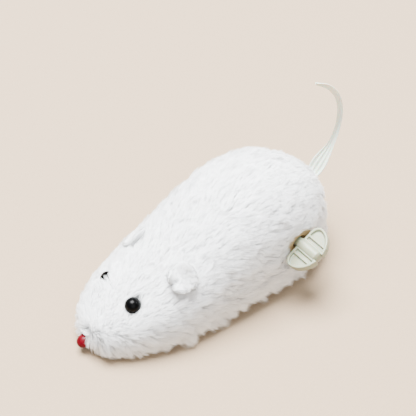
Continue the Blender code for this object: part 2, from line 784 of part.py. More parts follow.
def build_stuffing(front_cutters, rear_cutters):
    """Loose filling in front of the motor, and more of it over and beside the motor."""
    inset = COVER_THICKNESS + STUFFING_GAP
    split = CASE_FRONT - CASE_WALL - CASE_FOOT_LENGTH - MOVING_GAP
    wheel_top = 2 * FRONT_AXLE[1] + GROUND_CLEARANCE + MOVING_GAP
    rim_start = opening_rim()[0][1]
    far = BODY_LENGTH
    head = body_solid("head_stuffing", -inset, 18, 20)
    carve(head, hide(box("head_back_cut", (-far, split, -far), (far, far, far))))
    floor_low = (-far, rim_start - MOVING_GAP, -far)
    carve(head, hide(box("head_floor_cut", floor_low, (far, far, wheel_top + MOVING_GAP))))
    rear_wheel_top = DRIVE_AXLE[1] + REAR_WHEEL_DIAMETER / 2 + MOVING_GAP
    back = body_solid("back_stuffing", -inset, 18, 20)
    carve(back, hide(box("back_front_cut", (-far, -far, -far), (far, split + MOVING_GAP, far))))
    carve(back, hide(box("back_floor_cut", (-far, -far, -far), (far, far, rear_wheel_top))))
    room = CASE_WALL + MOVING_GAP
    case_low = (-CASE_OUTER_HALF_WIDTH - SCREW_HEAD_HEIGHT - MOVING_GAP, split, -far)
    case_high = (CASE_OUTER_HALF_WIDTH + MOVING_GAP, CASE_BACK + room, CASE_TOP + room)
    carve(back, hide(box("back_motor_cut", case_low, case_high)))
    for cutter in front_cutters:
        carve(head, cutter)
    for cutter in rear_cutters:
        carve(back, cutter)
    keep(head, FIBRE_FILL)
    keep(back, FIBRE_FILL)


# ---------------------------------------------------------------- gears and the clockwork


def involute(angle):
    return math.tan(angle) - angle


def gear_outline(centre, teeth, phase, flank_points):
    """A spur gear's outline. A tooth's middle lies at the phase angle, counted from +Y towards +Z."""
    pitch = teeth * GEAR_MODULE / 2
    base = pitch * math.cos(PRESSURE_ANGLE)
    root, tip = pitch - 1.15 * GEAR_MODULE, pitch + 0.85 * GEAR_MODULE
    half_tooth = (math.pi * GEAR_MODULE / 2 - GEAR_BACKLASH) / (2 * pitch)
    start = max(root, base)
    radii = [start + (tip - start) * k / flank_points for k in range(flank_points + 1)]
    if root < base:
        radii.insert(0, root)
    flank = []
    for radius in radii:
        angle = math.acos(min(1.0, base / radius))
        flank.append((radius, half_tooth + involute(PRESSURE_ANGLE) - involute(angle)))
    outline = []
    for tooth in range(teeth):
        middle = phase + 2 * math.pi * tooth / teeth
        sides = [(radius, middle - half) for radius, half in flank]
        sides += [(radius, middle + half) for radius, half in reversed(flank)]
        outline += [(centre[0] + r * math.cos(a), centre[1] + r * math.sin(a)) for r, a in sides]
    return outline


def direction(start, end):
    return math.atan2(end[1] - start[1], end[0] - start[0])


def build_train():
    towards_second = direction(WINDING_ARBOR, SECOND_ARBOR)
    towards_drive = direction(SECOND_ARBOR, DRIVE_AXLE)
    half_pinion_pitch = math.pi / SECOND_PINION_TEETH
    half_drive_pitch = math.pi / DRIVE_PINION_TEETH
    winding_bore = WINDING_ARBOR_DIAMETER / 2 + RUNNING_GAP
    second_bore = SECOND_ARBOR_DIAMETER / 2 + RUNNING_GAP
    drive_bore = DRIVE_AXLE_DIAMETER / 2 + RUNNING_GAP

    rivet_place = click_pivot()
    outline = gear_outline(WINDING_ARBOR, GREAT_TEETH, towards_second, 1)
    holes = (circle(WINDING_ARBOR, winding_bore), circle(rivet_place, RIVET_DIAMETER / 2 + RUNNING_GAP, 12))
    keep(plate("great_wheel", outline, GREAT_X, GREAT_X + WHEEL_FACE, holes), GEAR_NYLON, False)

    phase = towards_second + math.pi + half_pinion_pitch
    outline = gear_outline(SECOND_ARBOR, SECOND_PINION_TEETH, phase, 2)
    low = GREAT_X - PINION_OVERHANG
    hole = circle(SECOND_ARBOR, second_bore, 16)
    keep(plate("second_pinion", outline, low, low + PINION_FACE, (hole,)), GEAR_NYLON, False)

    outline = gear_outline(SECOND_ARBOR, SECOND_WHEEL_TEETH, towards_drive, 1)
    high = SECOND_WHEEL_X + WHEEL_FACE
    keep(plate("second_wheel", outline, SECOND_WHEEL_X, high, (hole,)), GEAR_NYLON, False)

    phase = towards_drive + math.pi + half_drive_pitch
    outline = gear_outline(DRIVE_AXLE, DRIVE_PINION_TEETH, phase, 2)
    low = SECOND_WHEEL_X - PINION_OVERHANG
    hole = circle(DRIVE_AXLE, drive_bore, 16)
    keep(plate("drive_pinion", outline, low, low + PINION_FACE, (hole,)), GEAR_NYLON, False)


def ratchet_outline():
    """Saw teeth, steep on one side."""
    tip = RATCHET_DIAMETER / 2
    outline = []
    for tooth in range(RATCHET_TEETH):
        start = 2 * math.pi * tooth / RATCHET_TEETH
        for radius, turn in ((tip - RATCHET_TOOTH_DEPTH, start), (tip, start + 0.03)):
            y = WINDING_ARBOR[0] + radius * math.cos(turn)
            outline.append((y, WINDING_ARBOR[1] + radius * math.sin(turn)))
    return outline


def click_pivot():
    turn = math.radians(70)
    y = WINDING_ARBOR[0] + CLICK_PIVOT_RADIUS * math.cos(turn)
    return (y, WINDING_ARBOR[1] + CLICK_PIVOT_RADIUS * math.sin(turn))


def click_outline():
    """A bent spring-steel arm: from the rivet round to a tip just clear of the ratchet's teeth."""
    steps = 8
    start, sweep = math.radians(70), math.radians(80)
    tip_radius = RATCHET_DIAMETER / 2 + TOUCH_GAP
    outer, inner = [], []
    for i in range(steps + 1):
        t = i / steps
        radius = CLICK_PIVOT_RADIUS + (tip_radius + CLICK_WIDTH * 0.25 - CLICK_PIVOT_RADIUS) * t
        half = CLICK_WIDTH / 2 * (1 - 0.75 * t)
        turn = start + sweep * t
        for row, reach in ((outer, radius + half), (inner, radius - half)):
            y = WINDING_ARBOR[0] + reach * math.cos(turn)
            row.append((y, WINDING_ARBOR[1] + reach * math.sin(turn)))
    cap = []
    for i in range(1, 6):
        turn = start - math.pi / 2 + (i / 6 - 0.5) * math.pi
        y = click_pivot()[0] + CLICK_WIDTH / 2 * math.cos(turn)
        cap.append((y, click_pivot()[1] + CLICK_WIDTH / 2 * math.sin(turn)))
    return outer[::-1] + cap[::-1] + inner


def build_ratchet():
    bore = WINDING_ARBOR_DIAMETER / 2 + RUNNING_GAP
    high = RATCHET_X + RATCHET_THICKNESS
    hole = circle(WINDING_ARBOR, bore)
    keep(plate("ratchet_wheel", ratchet_outline(), RATCHET_X, high, (hole,)), STEEL, False)
    rivet_hole = circle(click_pivot(), RIVET_DIAMETER / 2 + RUNNING_GAP, 12)
    keep(plate("click", click_outline(), RATCHET_X, high, (rivet_hole,)), SPRING_STEEL, False)
    reach = 0.7 * MM
    low, top = RATCHET_X - RUNNING_GAP, GREAT_X + WHEEL_FACE + RUNNING_GAP
    radius, head = RIVET_DIAMETER / 2, RIVET_DIAMETER * 0.85
    length = top - low
    profile = [(0, length + reach), (head, length + reach), (head, length)]
    profile += [(radius, length), (radius, 0), (head, 0)]
    profile += [(head, -reach), (0, -reach)]
    keep(lathe("click_rivet", profile, across(low, click_pivot()), 12), STEEL)


def build_mainspring():
    """An open spiral strip round the winding arbor, drawn run down."""
    steps = int(SPRING_TURNS * 14)
    inner = WINDING_ARBOR_DIAMETER / 2 + TOUCH_GAP
    outer = SPRING_OUTER_DIAMETER / 2 - SPRING_STRIP_THICKNESS
    near, far = [], []
    for i in range(steps + 1):
        share = i / steps
        turn = 2 * math.pi * SPRING_TURNS * share
        radius = inner + (outer - inner) * share
        for row, reach in ((near, radius), (far, radius + SPRING_STRIP_THICKNESS)):
            y = WINDING_ARBOR[0] + reach * math.cos(turn)
            row.append((y, WINDING_ARBOR[1] + reach * math.sin(turn)))
    strip = plate("mainspring", near + far[::-1], SPRING_X, SPRING_X + SPRING_STRIP_WIDTH)
    keep(strip, SPRING_STEEL)


def build_arbors():
    end = CASE_OUTER_HALF_WIDTH - 0.2 * MM
    key_tip = KEY_END_X - 2.0 * MM
    keep(rod("winding_arbor", WINDING_ARBOR_DIAMETER, -end, key_tip, WINDING_ARBOR, 0.3 * MM), STEEL)
    keep(rod("second_arbor", SECOND_ARBOR_DIAMETER, -end, end, SECOND_ARBOR, 0.2 * MM, 16), STEEL)
    drive_end = REAR_WHEEL_OUTER_X + 0.3 * MM
    keep(rod("drive_axle", DRIVE_AXLE_DIAMETER, -drive_end, drive_end, DRIVE_AXLE, 0.2 * MM, 16), STEEL)
    front_end = FRONT_WHEEL_OUTER_X + 0.3 * MM
    keep(rod("front_axle", FRONT_AXLE_DIAMETER, -front_end, front_end, FRONT_AXLE, 0.2 * MM, 16), STEEL)


def wheel_profile(rim, bore, width, hub_reach):
    """A dished wheel: (radius, height) points, top down its outer side, closing up the bore."""
    hub = WHEEL_HUB_DIAMETER / 2
    dish = width * 0.28
    inner_rim = rim - 1.2 * MM
    profile = [(bore, width), (hub, width), (hub, width - dish), (inner_rim, width - dish)]
    profile += [(inner_rim, width), (rim, width), (rim, 0)]
    if hub_reach:
        profile += [(hub, 0), (hub, -hub_reach)]
    return [*profile, (bore, -hub_reach)]


def build_wheels():
    rear_rim = REAR_WHEEL_DIAMETER / 2 - TYRE_DEPTH
    rear_bore = DRIVE_AXLE_DIAMETER / 2 + RUNNING_GAP
    profile = wheel_profile(rear_rim, rear_bore, REAR_WHEEL_WIDTH, 1.0 * MM)
    left = lathe("rear_wheel_left", profile, across(REAR_WHEEL_INNER_X, DRIVE_AXLE), bored=True)
    keep(left, GREY_PLASTIC)
    keep(mirrored("rear_wheel_right", left), GREY_PLASTIC)
    tyre = ring(
        "rear_tyre_left",
        REAR_WHEEL_DIAMETER / 2,
        rear_rim + RUNNING_GAP,
        REAR_WHEEL_INNER_X,
        REAR_WHEEL_OUTER_X,
        DRIVE_AXLE,
        0.5 * MM,
    )
    keep(tyre, TYRE_RUBBER)
    keep(mirrored("rear_tyre_right", tyre), TYRE_RUBBER)
    front_bore = FRONT_AXLE_DIAMETER / 2 + RUNNING_GAP
    profile = wheel_profile(FRONT_WHEEL_DIAMETER / 2, front_bore, FRONT_WHEEL_WIDTH, 0.0)
    front = lathe("front_wheel_left", profile, across(FRONT_WHEEL_INNER_X, FRONT_AXLE), bored=True)
    keep(front, GREY_PLASTIC)
    keep(mirrored("front_wheel_right", front), GREY_PLASTIC)


# ---------------------------------------------------------------- case and base


def case_outline(inset, bottom):
    """The motor case seen from the side, with its two top corners rounded."""
    front = CASE_FRONT - CASE_WALL + inset
    back = CASE_BACK + CASE_WALL - inset
    top = CASE_TOP + CASE_WALL - inset
    radius = CASE_CORNER_RADIUS - inset
    outline = [(front, bottom), (back, bottom)]
    steps = 6
    for corner, start in ((back - radius, 0.0), (front + radius, math.pi / 2)):
        for i in range(steps + 1):
            turn = start + math.pi / 2 * i / steps
            outline.append((corner + radius * math.cos(turn), top - radius + radius * math.sin(turn)))
    return outline


def case_holes():
    """Bearing holes through both case halves, as cutters."""
    reach = CASE_OUTER_HALF_WIDTH + 2 * MM
    found = []
    arbors = (
        ("winding", WINDING_ARBOR, WINDING_ARBOR_DIAMETER),
        ("second", SECOND_ARBOR, SECOND_ARBOR_DIAMETER),
        ("drive", DRIVE_AXLE, DRIVE_AXLE_DIAMETER),
    )
    for name, centre, diameter in arbors:
        bore = diameter + 2 * RUNNING_GAP
        found.append(side_cutter(f"{name}_bearing_cut", bore, -reach, reach, centre))
    return found


def build_case():
    half_seam = TOUCH_GAP / 2
    holes = case_holes()
    screw_hole = SCREW_DIAMETER + 2 * RUNNING_GAP
    for side, name in ((1, "motor_case_left"), (-1, "motor_case_right")):
        low, high = sorted((side * half_seam, side * CASE_OUTER_HALF_WIDTH))
        half = plate(name, case_outline(0.0, CASE_BOTTOM + RUNNING_GAP), low, high)
        inner_low, inner_high = sorted((-side * MM, side * CASE_INNER_HALF_WIDTH))
        room = hide(plate(f"{name}_room", case_outline(CASE_WALL, -CASE_WALL), inner_low, inner_high))
        carve(half, room)
        for index, place in enumerate(CASE_SCREW_PLACES):
            inner = side * (CASE_INNER_HALF_WIDTH + CASE_WALL / 2)
            boss_low, boss_high = sorted((side * half_seam, inner))
            boss = rod(f"{name}_boss_{index}", CASE_BOSS_DIAMETER, boss_low, boss_high, place, 0.0, 12)
            carve(half, hide(boss), "UNION")
        for index, centre in enumerate(FOOT_CENTRES):
            foot_low, foot_high = sorted(side * (FOOT_SCREW_X + reach) for reach in (-FOOT_REACH, FOOT_REACH))
            reach = CASE_FOOT_LENGTH / 2
            inward = CASE_WALL / 2
            y_low = centre - reach - (inward if index else 0)
            y_high = centre + reach + (0 if index else inward)
            high_corner = (foot_high, y_high, CASE_BOTTOM + CASE_FOOT_HEIGHT)
            foot = box(f"{name}_foot_{index}", (foot_low, y_low, CASE_BOTTOM), high_corner)
            carve(half, hide(foot), "UNION")
            pilot_top = BASE_SCREW_LENGTH + TOUCH_GAP
            place = (side * FOOT_SCREW_X, centre)
            pilot = upright_cutter(f"{name}_pilot_{index}", screw_hole, *place, -MM, pilot_top)
            carve(half, pilot)
        for index, place in enumerate(CASE_SCREW_PLACES):
            start = -CASE_OUTER_HALF_WIDTH - MM
            end = -CASE_OUTER_HALF_WIDTH + CASE_SCREW_LENGTH + TOUCH_GAP
            hole = side_cutter(f"{name}_screw_hole_{index}", screw_hole, start, end, place, SMALL_STEPS)
            carve(half, hole)
        for hole in holes:
            carve(half, hole)
        keep(half, CASE_PLASTIC)


def screw_profile(length):
    """A pan-head screw, head up at the local origin, its shank downwards."""
    head, shank = SCREW_HEAD_DIAMETER / 2, SCREW_DIAMETER / 2
    return [
        (0, SCREW_HEAD_HEIGHT),
        (head * 0.7, SCREW_HEAD_HEIGHT),
        (head, SCREW_HEAD_HEIGHT * 0.5),
        (head, 0),
        (shank, 0),
        (shank, -length + shank),
        (shank * 0.3, -length),
        (0, -length),
    ]


def build_screws():
    for index, place in enumerate(CASE_SCREW_PLACES):
        seat = Matrix.Translation((-CASE_OUTER_HALF_WIDTH - RUNNING_GAP, *place))
        turned = seat @ Matrix.Rotation(-math.pi / 2, 4, "Y")
        keep(lathe(f"case_screw_{index + 1}", screw_profile(CASE_SCREW_LENGTH), turned, SMALL_STEPS), STEEL)
    upside_down = Matrix.Rotation(math.pi, 4, "X")
    number = 1
    for y in FOOT_CENTRES:
        for side in (1, -1):
            place = Matrix.Translation((side * FOOT_SCREW_X, y, SCREW_HEAD_HEIGHT)) @ upside_down
            profile = screw_profile(BASE_SCREW_LENGTH - SCREW_HEAD_HEIGHT)
            keep(lathe(f"base_screw_{number}", profile, place, SMALL_STEPS), STEEL)
            number += 1


def build_base():
    rim = opening_rim()
    outline = []
    last = len(rim) - 1
    for index, (half_width, y) in enumerate(rim):
        shift = TOUCH_GAP if index == 0 else -TOUCH_GAP if index == last else 0.0
        outline.append((half_width - TOUCH_GAP, y + shift))
    outline += [(-x, y) for x, y in reversed(outline)]
    base = floor_plate("base_plate", outline, 0.0, BASE_THICKNESS)
    for side in (1, -1):
        low, high = sorted((side * LUG_INNER_X, side * LUG_OUTER_X))
        reach = FRONT_AXLE_DIAMETER * 1.1
        low_corner = (low, FRONT_AXLE[0] - reach, MM)
        lug = box(f"lug_{side}", low_corner, (high, FRONT_AXLE[0] + reach, FRONT_AXLE[1] + reach))
        carve(base, hide(lug), "UNION")
    bore = FRONT_AXLE_DIAMETER + 2 * RUNNING_GAP
    carve(base, side_cutter("front_bearing_cut", bore, -20 * MM, 20 * MM, FRONT_AXLE))
    windows = (
        ("rear", DRIVE_AXLE, REAR_WHEEL_DIAMETER, CASE_OUTER_HALF_WIDTH + WHEEL_CASE_GAP / 2, REAR_WHEEL_OUTER_X),
        ("front", FRONT_AXLE, FRONT_WHEEL_DIAMETER, FRONT_WHEEL_INNER_X, FRONT_WHEEL_OUTER_X),
    )
    for name, centre, diameter, inner_x, outer_x in windows:
        chord = math.sqrt((diameter / 2) ** 2 - max(0.0, centre[1] - BASE_THICKNESS) ** 2)
        for side in (1, -1):
            low, high = sorted((side * (inner_x - MOVING_GAP / 2), side * (outer_x + WINDOW_MARGIN)))
            reach = chord + WINDOW_MARGIN
            low_corner = (low, centre[0] - reach, -MM)
            high_corner = (high, centre[0] + reach, BASE_THICKNESS + MM / 2)
            carve(base, hide(box(f"{name}_window_{side}", low_corner, high_corner)))
    pinion_low = SECOND_WHEEL_X - PINION_OVERHANG - MOVING_GAP
    pinion_high = pinion_low + PINION_FACE + 2 * MOVING_GAP
    pocket_reach = DRIVE_TIP + MOVING_GAP
    pocket_low = (pinion_low, DRIVE_AXLE[0] - pocket_reach, DRIVE_AXLE[1] - pocket_reach)
    pocket_high = (pinion_high, DRIVE_AXLE[0] + pocket_reach, BASE_THICKNESS + MM)
    carve(base, hide(box("pinion_pocket", pocket_low, pocket_high)))
    number = 1
    for y in FOOT_CENTRES:
        for side in (1, -1):
            x = side * FOOT_SCREW_X
            shank = SCREW_DIAMETER + 2 * RUNNING_GAP
            head = SCREW_HEAD_DIAMETER + 2 * TOUCH_GAP
            through = BASE_THICKNESS + MM
            carve(base, upright_cutter(f"base_hole_{number}", shank, x, y, -MM, through))
            seat = SCREW_HEAD_HEIGHT + RUNNING_GAP
            carve(base, upright_cutter(f"base_recess_{number}", head, x, y, -MM, seat))
            number += 1
    keep(base, GREY_PLASTIC)


# ---------------------------------------------------------------- the winding key


def wing_outline(inset):
    """Half of the D-shaped bow in its own plane, across the arbor and then outwards, drawn in by inset."""
    half = KEY_SPAN / 2 - inset
    inner = KEY_HUB_DIAMETER * 0.30 + inset
    heel = KEY_LENGTH * KEY_HEEL_SHARE
    corner = half * KEY_CORNER_SHARE
    crown = KEY_LENGTH - inset - heel
    steps = 5
    heel_turns = [math.pi / 2 * (i / steps - 1) for i in range(steps + 1)]
    outline = [(inner, inset)]
    middle = half - corner
    outline += [(middle + corner * math.cos(a), heel + (heel - inset) * math.sin(a)) for a in heel_turns]
    last = math.acos(inner / half)
    outline += [(half * math.cos(last * i / 9), heel + crown * math.sin(last * i / 9)) for i in range(1, 10)]
    return outline


def key_frame():
    """The bow's plane: its local X runs across the arbor, its local Y outwards along it."""
    across_arbor = Vector((0, math.cos(KEY_REST_ANGLE), math.sin(KEY_REST_ANGLE)))
    outwards = Vector((1, 0, 0))
    matrix = Matrix((across_arbor, outwards, across_arbor.cross(outwards))).transposed().to_4x4()
    matrix.translation = (KEY_BOW_X, *WINDING_ARBOR)
    return matrix


def wing(name, outline, depth, frame):
    curve = bpy.data.curves.new(name, "CURVE")
    curve.dimensions = "2D"
    curve.fill_mode = "BOTH"
    curve.extrude = depth / 2
    spline = curve.splines.new("POLY")
    spline.points.add(len(outline) - 1)
    for point, (u, v) in zip(spline.points, outline):
        point.co = (u, v, 0, 1)
    spline.use_cyclic_u = True
    obj = object_from(name, curve)
    obj.matrix_world = frame
    return baked(obj)


def build_key():
    hub_end = KEY_END_X - KEY_HUB_SETBACK
    hub = rod("winding_key", KEY_HUB_DIAMETER, KEY_HUB_X, hub_end, WINDING_ARBOR, 0.4 * MM)
    frame = key_frame()
    pocket_depth = (KEY_THICKNESS - KEY_WEB) / 2
    for side in (0, 1):
        turned = frame @ Matrix.Rotation(math.pi * side, 4, "Y")
        blade = wing(f"key_wing_{side}", wing_outline(0.0), KEY_THICKNESS, turned)
        for face in (1, -1):
            lift = Matrix.Translation((0, 0, face * (KEY_WEB / 2 + pocket_depth)))
            pocket = wing(f"key_pocket_{side}_{face}", wing_outline(KEY_RIM), 2 * pocket_depth, turned @ lift)
            boolean(blade, hide(pocket))
        blade = baked(blade)
        boolean(hub, hide(blade), "UNION")
    bore = WINDING_ARBOR_DIAMETER + 2 * RUNNING_GAP
    blind_end = KEY_END_X - 2 * KEY_HUB_SETBACK + TOUCH_GAP
    boolean(hub, side_cutter("key_bore", bore, KEY_HUB_X - MM, blind_end, WINDING_ARBOR))
    keep(hub, IVORY_PLASTIC)
    reach = KEY_BOW_X + KEY_LENGTH
    hole_start = CASE_OUTER_HALF_WIDTH - MM
    hole = side_cutter("key_hole_cut", KEY_HOLE_DIAMETER, hole_start, reach, WINDING_ARBOR)
    swept = KEY_SPAN + 2 * KEY_BODY_GAP
    return hole, side_cutter("key_sweep", swept, PRESSED_X, reach, WINDING_ARBOR, 2 * ROUND_STEPS)


TURNING = {
    "winding_axis": (WINDING_ARBOR, ("winding_key", "winding_arbor", "ratchet_wheel")),
    "great_axis": (WINDING_ARBOR, ("great_wheel", "click", "click_rivet")),
    "second_axis": (SECOND_ARBOR, ("second_arbor", "second_pinion", "second_wheel")),
    "drive_axis": (
        DRIVE_AXLE,
        (
            "drive_axle",
            "drive_pinion",
            "rear_wheel_left",
            "rear_wheel_right",
            "rear_tyre_left",
            "rear_tyre_right",
        ),
    ),
    "front_axis": (FRONT_AXLE, ("front_axle", "front_wheel_left", "front_wheel_right")),
}


def hang_on_axis(name, centre, pieces):
    """Parents the pieces that turn together to an empty on their axis, where they are."""
    axis = bpy.data.objects.new(name, None)
    axis.location = (0, *centre)
    axis.empty_display_size = 5 * MM
    PARTS.objects.link(axis)
    for piece in pieces:
        obj = bpy.data.objects[piece]
        obj.parent = axis
        obj.matrix_parent_inverse = Matrix.Translation(axis.location).inverted()


def build():
    key_hole, key_sweep = build_key()
    face_sockets = [*build_eyes(), build_nose()]
    tail_hole = build_tail()
    build_cover([*face_sockets, tail_hole, key_hole, key_sweep])
    build_stuffing(face_sockets, [tail_hole, key_hole])
    build_ears()
    build_train()
    build_ratchet()
    build_mainspring()
    build_arbors()
    build_wheels()
    build_case()
    build_base()
    build_screws()
    for name, (centre, pieces) in TURNING.items():
        hang_on_axis(name, centre, pieces)


build()
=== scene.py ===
"""A wind-up plush mouse: pile, bead eyes, nose, ears, strip tail and key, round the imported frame."""
import json
import math

import bmesh
import bpy
import numpy as np
from mathutils import Matrix, Vector


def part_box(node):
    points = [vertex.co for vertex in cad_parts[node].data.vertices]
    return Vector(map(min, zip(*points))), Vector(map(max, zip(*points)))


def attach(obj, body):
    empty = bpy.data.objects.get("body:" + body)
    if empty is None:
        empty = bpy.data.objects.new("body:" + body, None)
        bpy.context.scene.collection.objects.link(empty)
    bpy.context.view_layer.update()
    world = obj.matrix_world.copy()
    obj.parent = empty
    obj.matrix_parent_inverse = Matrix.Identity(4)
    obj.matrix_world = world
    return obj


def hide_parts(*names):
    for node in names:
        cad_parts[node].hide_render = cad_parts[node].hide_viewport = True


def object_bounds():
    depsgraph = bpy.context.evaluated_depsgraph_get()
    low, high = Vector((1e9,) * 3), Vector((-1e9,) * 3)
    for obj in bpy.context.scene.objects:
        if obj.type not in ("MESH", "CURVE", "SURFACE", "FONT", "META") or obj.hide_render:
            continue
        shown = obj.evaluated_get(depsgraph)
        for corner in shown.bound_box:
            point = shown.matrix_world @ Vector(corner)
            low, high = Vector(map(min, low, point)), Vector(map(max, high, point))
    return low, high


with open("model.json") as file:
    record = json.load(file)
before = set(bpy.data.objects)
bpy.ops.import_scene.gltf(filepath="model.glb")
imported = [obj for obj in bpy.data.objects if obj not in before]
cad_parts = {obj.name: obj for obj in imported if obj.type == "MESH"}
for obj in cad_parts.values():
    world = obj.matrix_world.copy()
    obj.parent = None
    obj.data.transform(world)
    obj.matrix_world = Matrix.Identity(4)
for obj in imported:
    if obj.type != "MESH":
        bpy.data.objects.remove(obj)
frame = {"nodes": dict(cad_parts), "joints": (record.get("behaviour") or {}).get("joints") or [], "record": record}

CAD_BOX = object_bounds()
MM = 0.001
FLOOR_Z = CAD_BOX[0].z
UP = Vector((0, 0, 1))
SIDES = ("left", "right")
SEED = 7

# The camera, in the frame's own axes: azimuth 0 looks along +Y.
CAMERA_AZIMUTH = math.radians(52.8)
CAMERA_ELEVATION = math.radians(46.1)
CAMERA_DISTANCE = 449 * MM
CAMERA_TARGET = Vector((0, 0, 16.5 * MM))
CAMERA_LENS = 94.8
AIM_RIGHT = 0.0053
AIM_UP = 0.0371

# The pile: its strands are drawn into wisps, and those into locks.
STRANDS = 210_000
STRAND_WIDTH = 0.14 * MM
STRAND_STEPS = 4
STRAND_TAPER = 0.75
STRAND_SHADING = 0.22
TINT_COLUMNS = 16
FLOOR_GAP = 0.15 * MM
EYE_GAP = 0.25 * MM
KEY_GAP = 0.3 * MM
NOSE_PATCH = 2.3 * MM
PILE_LENGTH = 5.4 * MM
FACE_PILE = 3.0 * MM
HEM_PILE = 9.5 * MM
NOSE_TUFT = 1.3 * MM
BROW_TUFT = 2.6 * MM
EAR_PILE = 1.9 * MM
BELOW_SHARE = 0.55
PILE_DEPTH_SHARE = 0.48
WISP_AREA = 1.1 * MM**2
WISP_PULL = 0.5
LOCK_AREA = 7.0 * MM**2
LOCK_PULL = 0.36
EAR_LOCK_AREA = 3.0 * MM**2

# How the strands lean from the surface's normal, from root to tip, and how much they vary, in degrees.
PILE_LEAN = (32, 84)
EAR_PILE_LEAN = (58, 88)
LOCK_SWING = 11
LOCK_LIFT = 5
STRAND_SWING = 9
STRAND_LIFT = 6
STRAND_ROLL = 24

# How strongly the pile is combed down on the flanks, the rump and the hem, its waves, and the right brow.
FLANK_COMB = 0.12
RUMP_COMB = 1.2
HEM_COMB = 0.9
WAVE_COMB = 0.22
WAVE_SIZES = (9 * MM, 7 * MM, 5 * MM)
BROW_COMB = (-2.2, -0.6, 0.0)

# Sizes that part.py gives the nodes replaced here, and the detail that only this script adds.
KEY_SPAN = 20 * MM
KEY_LENGTH = 11.5 * MM
KEY_HUB_RADIUS = 2.7 * MM
KEY_THICKNESS = 3.4 * MM
KEY_WEB = 1.2 * MM
KEY_RIM = 1.0 * MM
KEY_RIB_PLACE = 4.5 * MM
KEY_RIB_WIDTH = 1.0 * MM
KEY_HEEL_SHARE = 0.28
KEY_CORNER_SHARE = 0.36
KEY_BEVEL = 0.32 * MM
KEY_REST_ANGLE = math.radians(28)
KEY_HOLE_RADIUS = 4.5 * MM
LINING_FLANGE = 2.0 * MM
LINING_SETBACK = 1.0 * MM
EAR_WIDTH = 11 * MM
EAR_HEIGHT = 11.5 * MM
EAR_FLAP_SHARE = 0.94
EAR_THICKNESS = 1.1 * MM
EAR_HOLLOW = 0.8 * MM
EAR_CURL = 1.0 * MM
EAR_LEAN = (0.35, 0.69, 0.64)
EAR_FACING = (0.33, -0.73, 0.60)
EAR_FOLD = {"left": 9 * MM, "right": 1 * MM}
RIGHT_EAR_DROOP = (-0.3, 0.3, -0.7)
RIGHT_EAR_SHIFT = 1.2 * MM
RIGHT_EYE_SINK = 1.2 * MM
STEM_RADIUS = 0.8 * MM
STEM_LENGTH = 7 * MM
NOSE_HEIGHT = 5.2 * MM
NOSE_WIDTH = 6.0 * MM
NOSE_DEPTH = 3.6 * MM
NOSE_OUTWARD = (0, -1, -0.15)
TAIL_ROOT_Z = 25.5 * MM
TAIL_LEAF = 6.5 * MM
TAIL_STRIP = 2.4 * MM
TAIL_PLEAT = 0.34 * MM
TAIL_FOLD = 0.30 * MM
TAIL_CROWN = 0.5 * MM
LEAF_PLACE = 0.19
LEAF_SPREAD = 0.125
TAIL_OFFSETS = (
    (-4.5, -1.5), (0, 0), (4.5, 5.0), (9.0, 10.5), (12.0, 17.0), (13.2, 24.5),
    (12.4, 32.0), (9.4, 39.0), (4.2, 45.0), (-2.2, 49.2),
)

# Colours that the lights turn into white, red, ivory and the rest.
# The pile's root colour is painted shade: the strands darken towards their roots, as the shade deep in the pile.
PILE_ROOT_SHADE = (0.46, 0.47, 0.48)
PILE_TIP = (0.95, 0.957, 0.963)
PILE_TINTS = ((0.95, 0.955, 0.96), (1, 1, 0.99))
FLOOR_COLOUR = (0.35, 0.255, 0.165)
WINDOW_COLOUR = (0.98, 0.99, 1.0)
ROOM_COLOUR = (0.93, 0.97, 1.0)


# ---------------------------------------------------------------- materials
def new_material(name, colour, roughness, **sockets):
    """A Principled material. Sockets given by name, with _ for a space, are set on the shader itself."""
    material = bpy.data.materials.new(name)
    material.use_nodes = True
    shader = material.node_tree.nodes["Principled BSDF"]
    shader.inputs["Base Color"].default_value = (*colour, 1)
    shader.inputs["Roughness"].default_value = roughness
    for socket, value in sockets.items():
        shader.inputs[socket.replace("_", " ")].default_value = value
    return material, shader


def add_node(material, kind, **settings):
    node = material.node_tree.nodes.new(kind)
    for name, value in settings.items():
        setattr(node, name, value)
    return node


def link(material, source, target):
    material.node_tree.links.new(source, target)


def grained(name, colour, roughness, grain, stretch=(1, 1, 1), **sockets):
    """A material with a grain, given as the share that its colour varies by, its size and its height."""
    spread, size, rise = grain
    material, shader = new_material(name, colour, roughness, **sockets)
    place = add_node(material, "ShaderNodeTexCoord")
    mapping = add_node(material, "ShaderNodeMapping")
    mapping.inputs["Scale"].default_value = stretch
    noise = add_node(material, "ShaderNodeTexNoise")
    noise.inputs["Scale"].default_value = 1 / size
    noise.inputs["Detail"].default_value = 5
    ramp = add_node(material, "ShaderNodeValToRGB")
    for stop, share in zip(ramp.color_ramp.elements, (1 - spread, 1 + spread)):
        stop.color = (*(min(1.0, c * share) for c in colour), 1)
    ramp.color_ramp.elements[0].position = 0.3
    ramp.color_ramp.elements[1].position = 0.7
    relief = add_node(material, "ShaderNodeBump")
    relief.inputs["Strength"].default_value = 1.0
    relief.inputs["Distance"].default_value = rise
    link(material, place.outputs["Object"], mapping.inputs["Vector"])
    link(material, mapping.outputs["Vector"], noise.inputs["Vector"])
    link(material, noise.outputs["Fac"], ramp.inputs["Fac"])
    link(material, ramp.outputs["Color"], shader.inputs["Base Color"])
    link(material, noise.outputs["Fac"], relief.inputs["Height"])
    link(material, relief.outputs["Normal"], shader.inputs["Normal"])
    return material


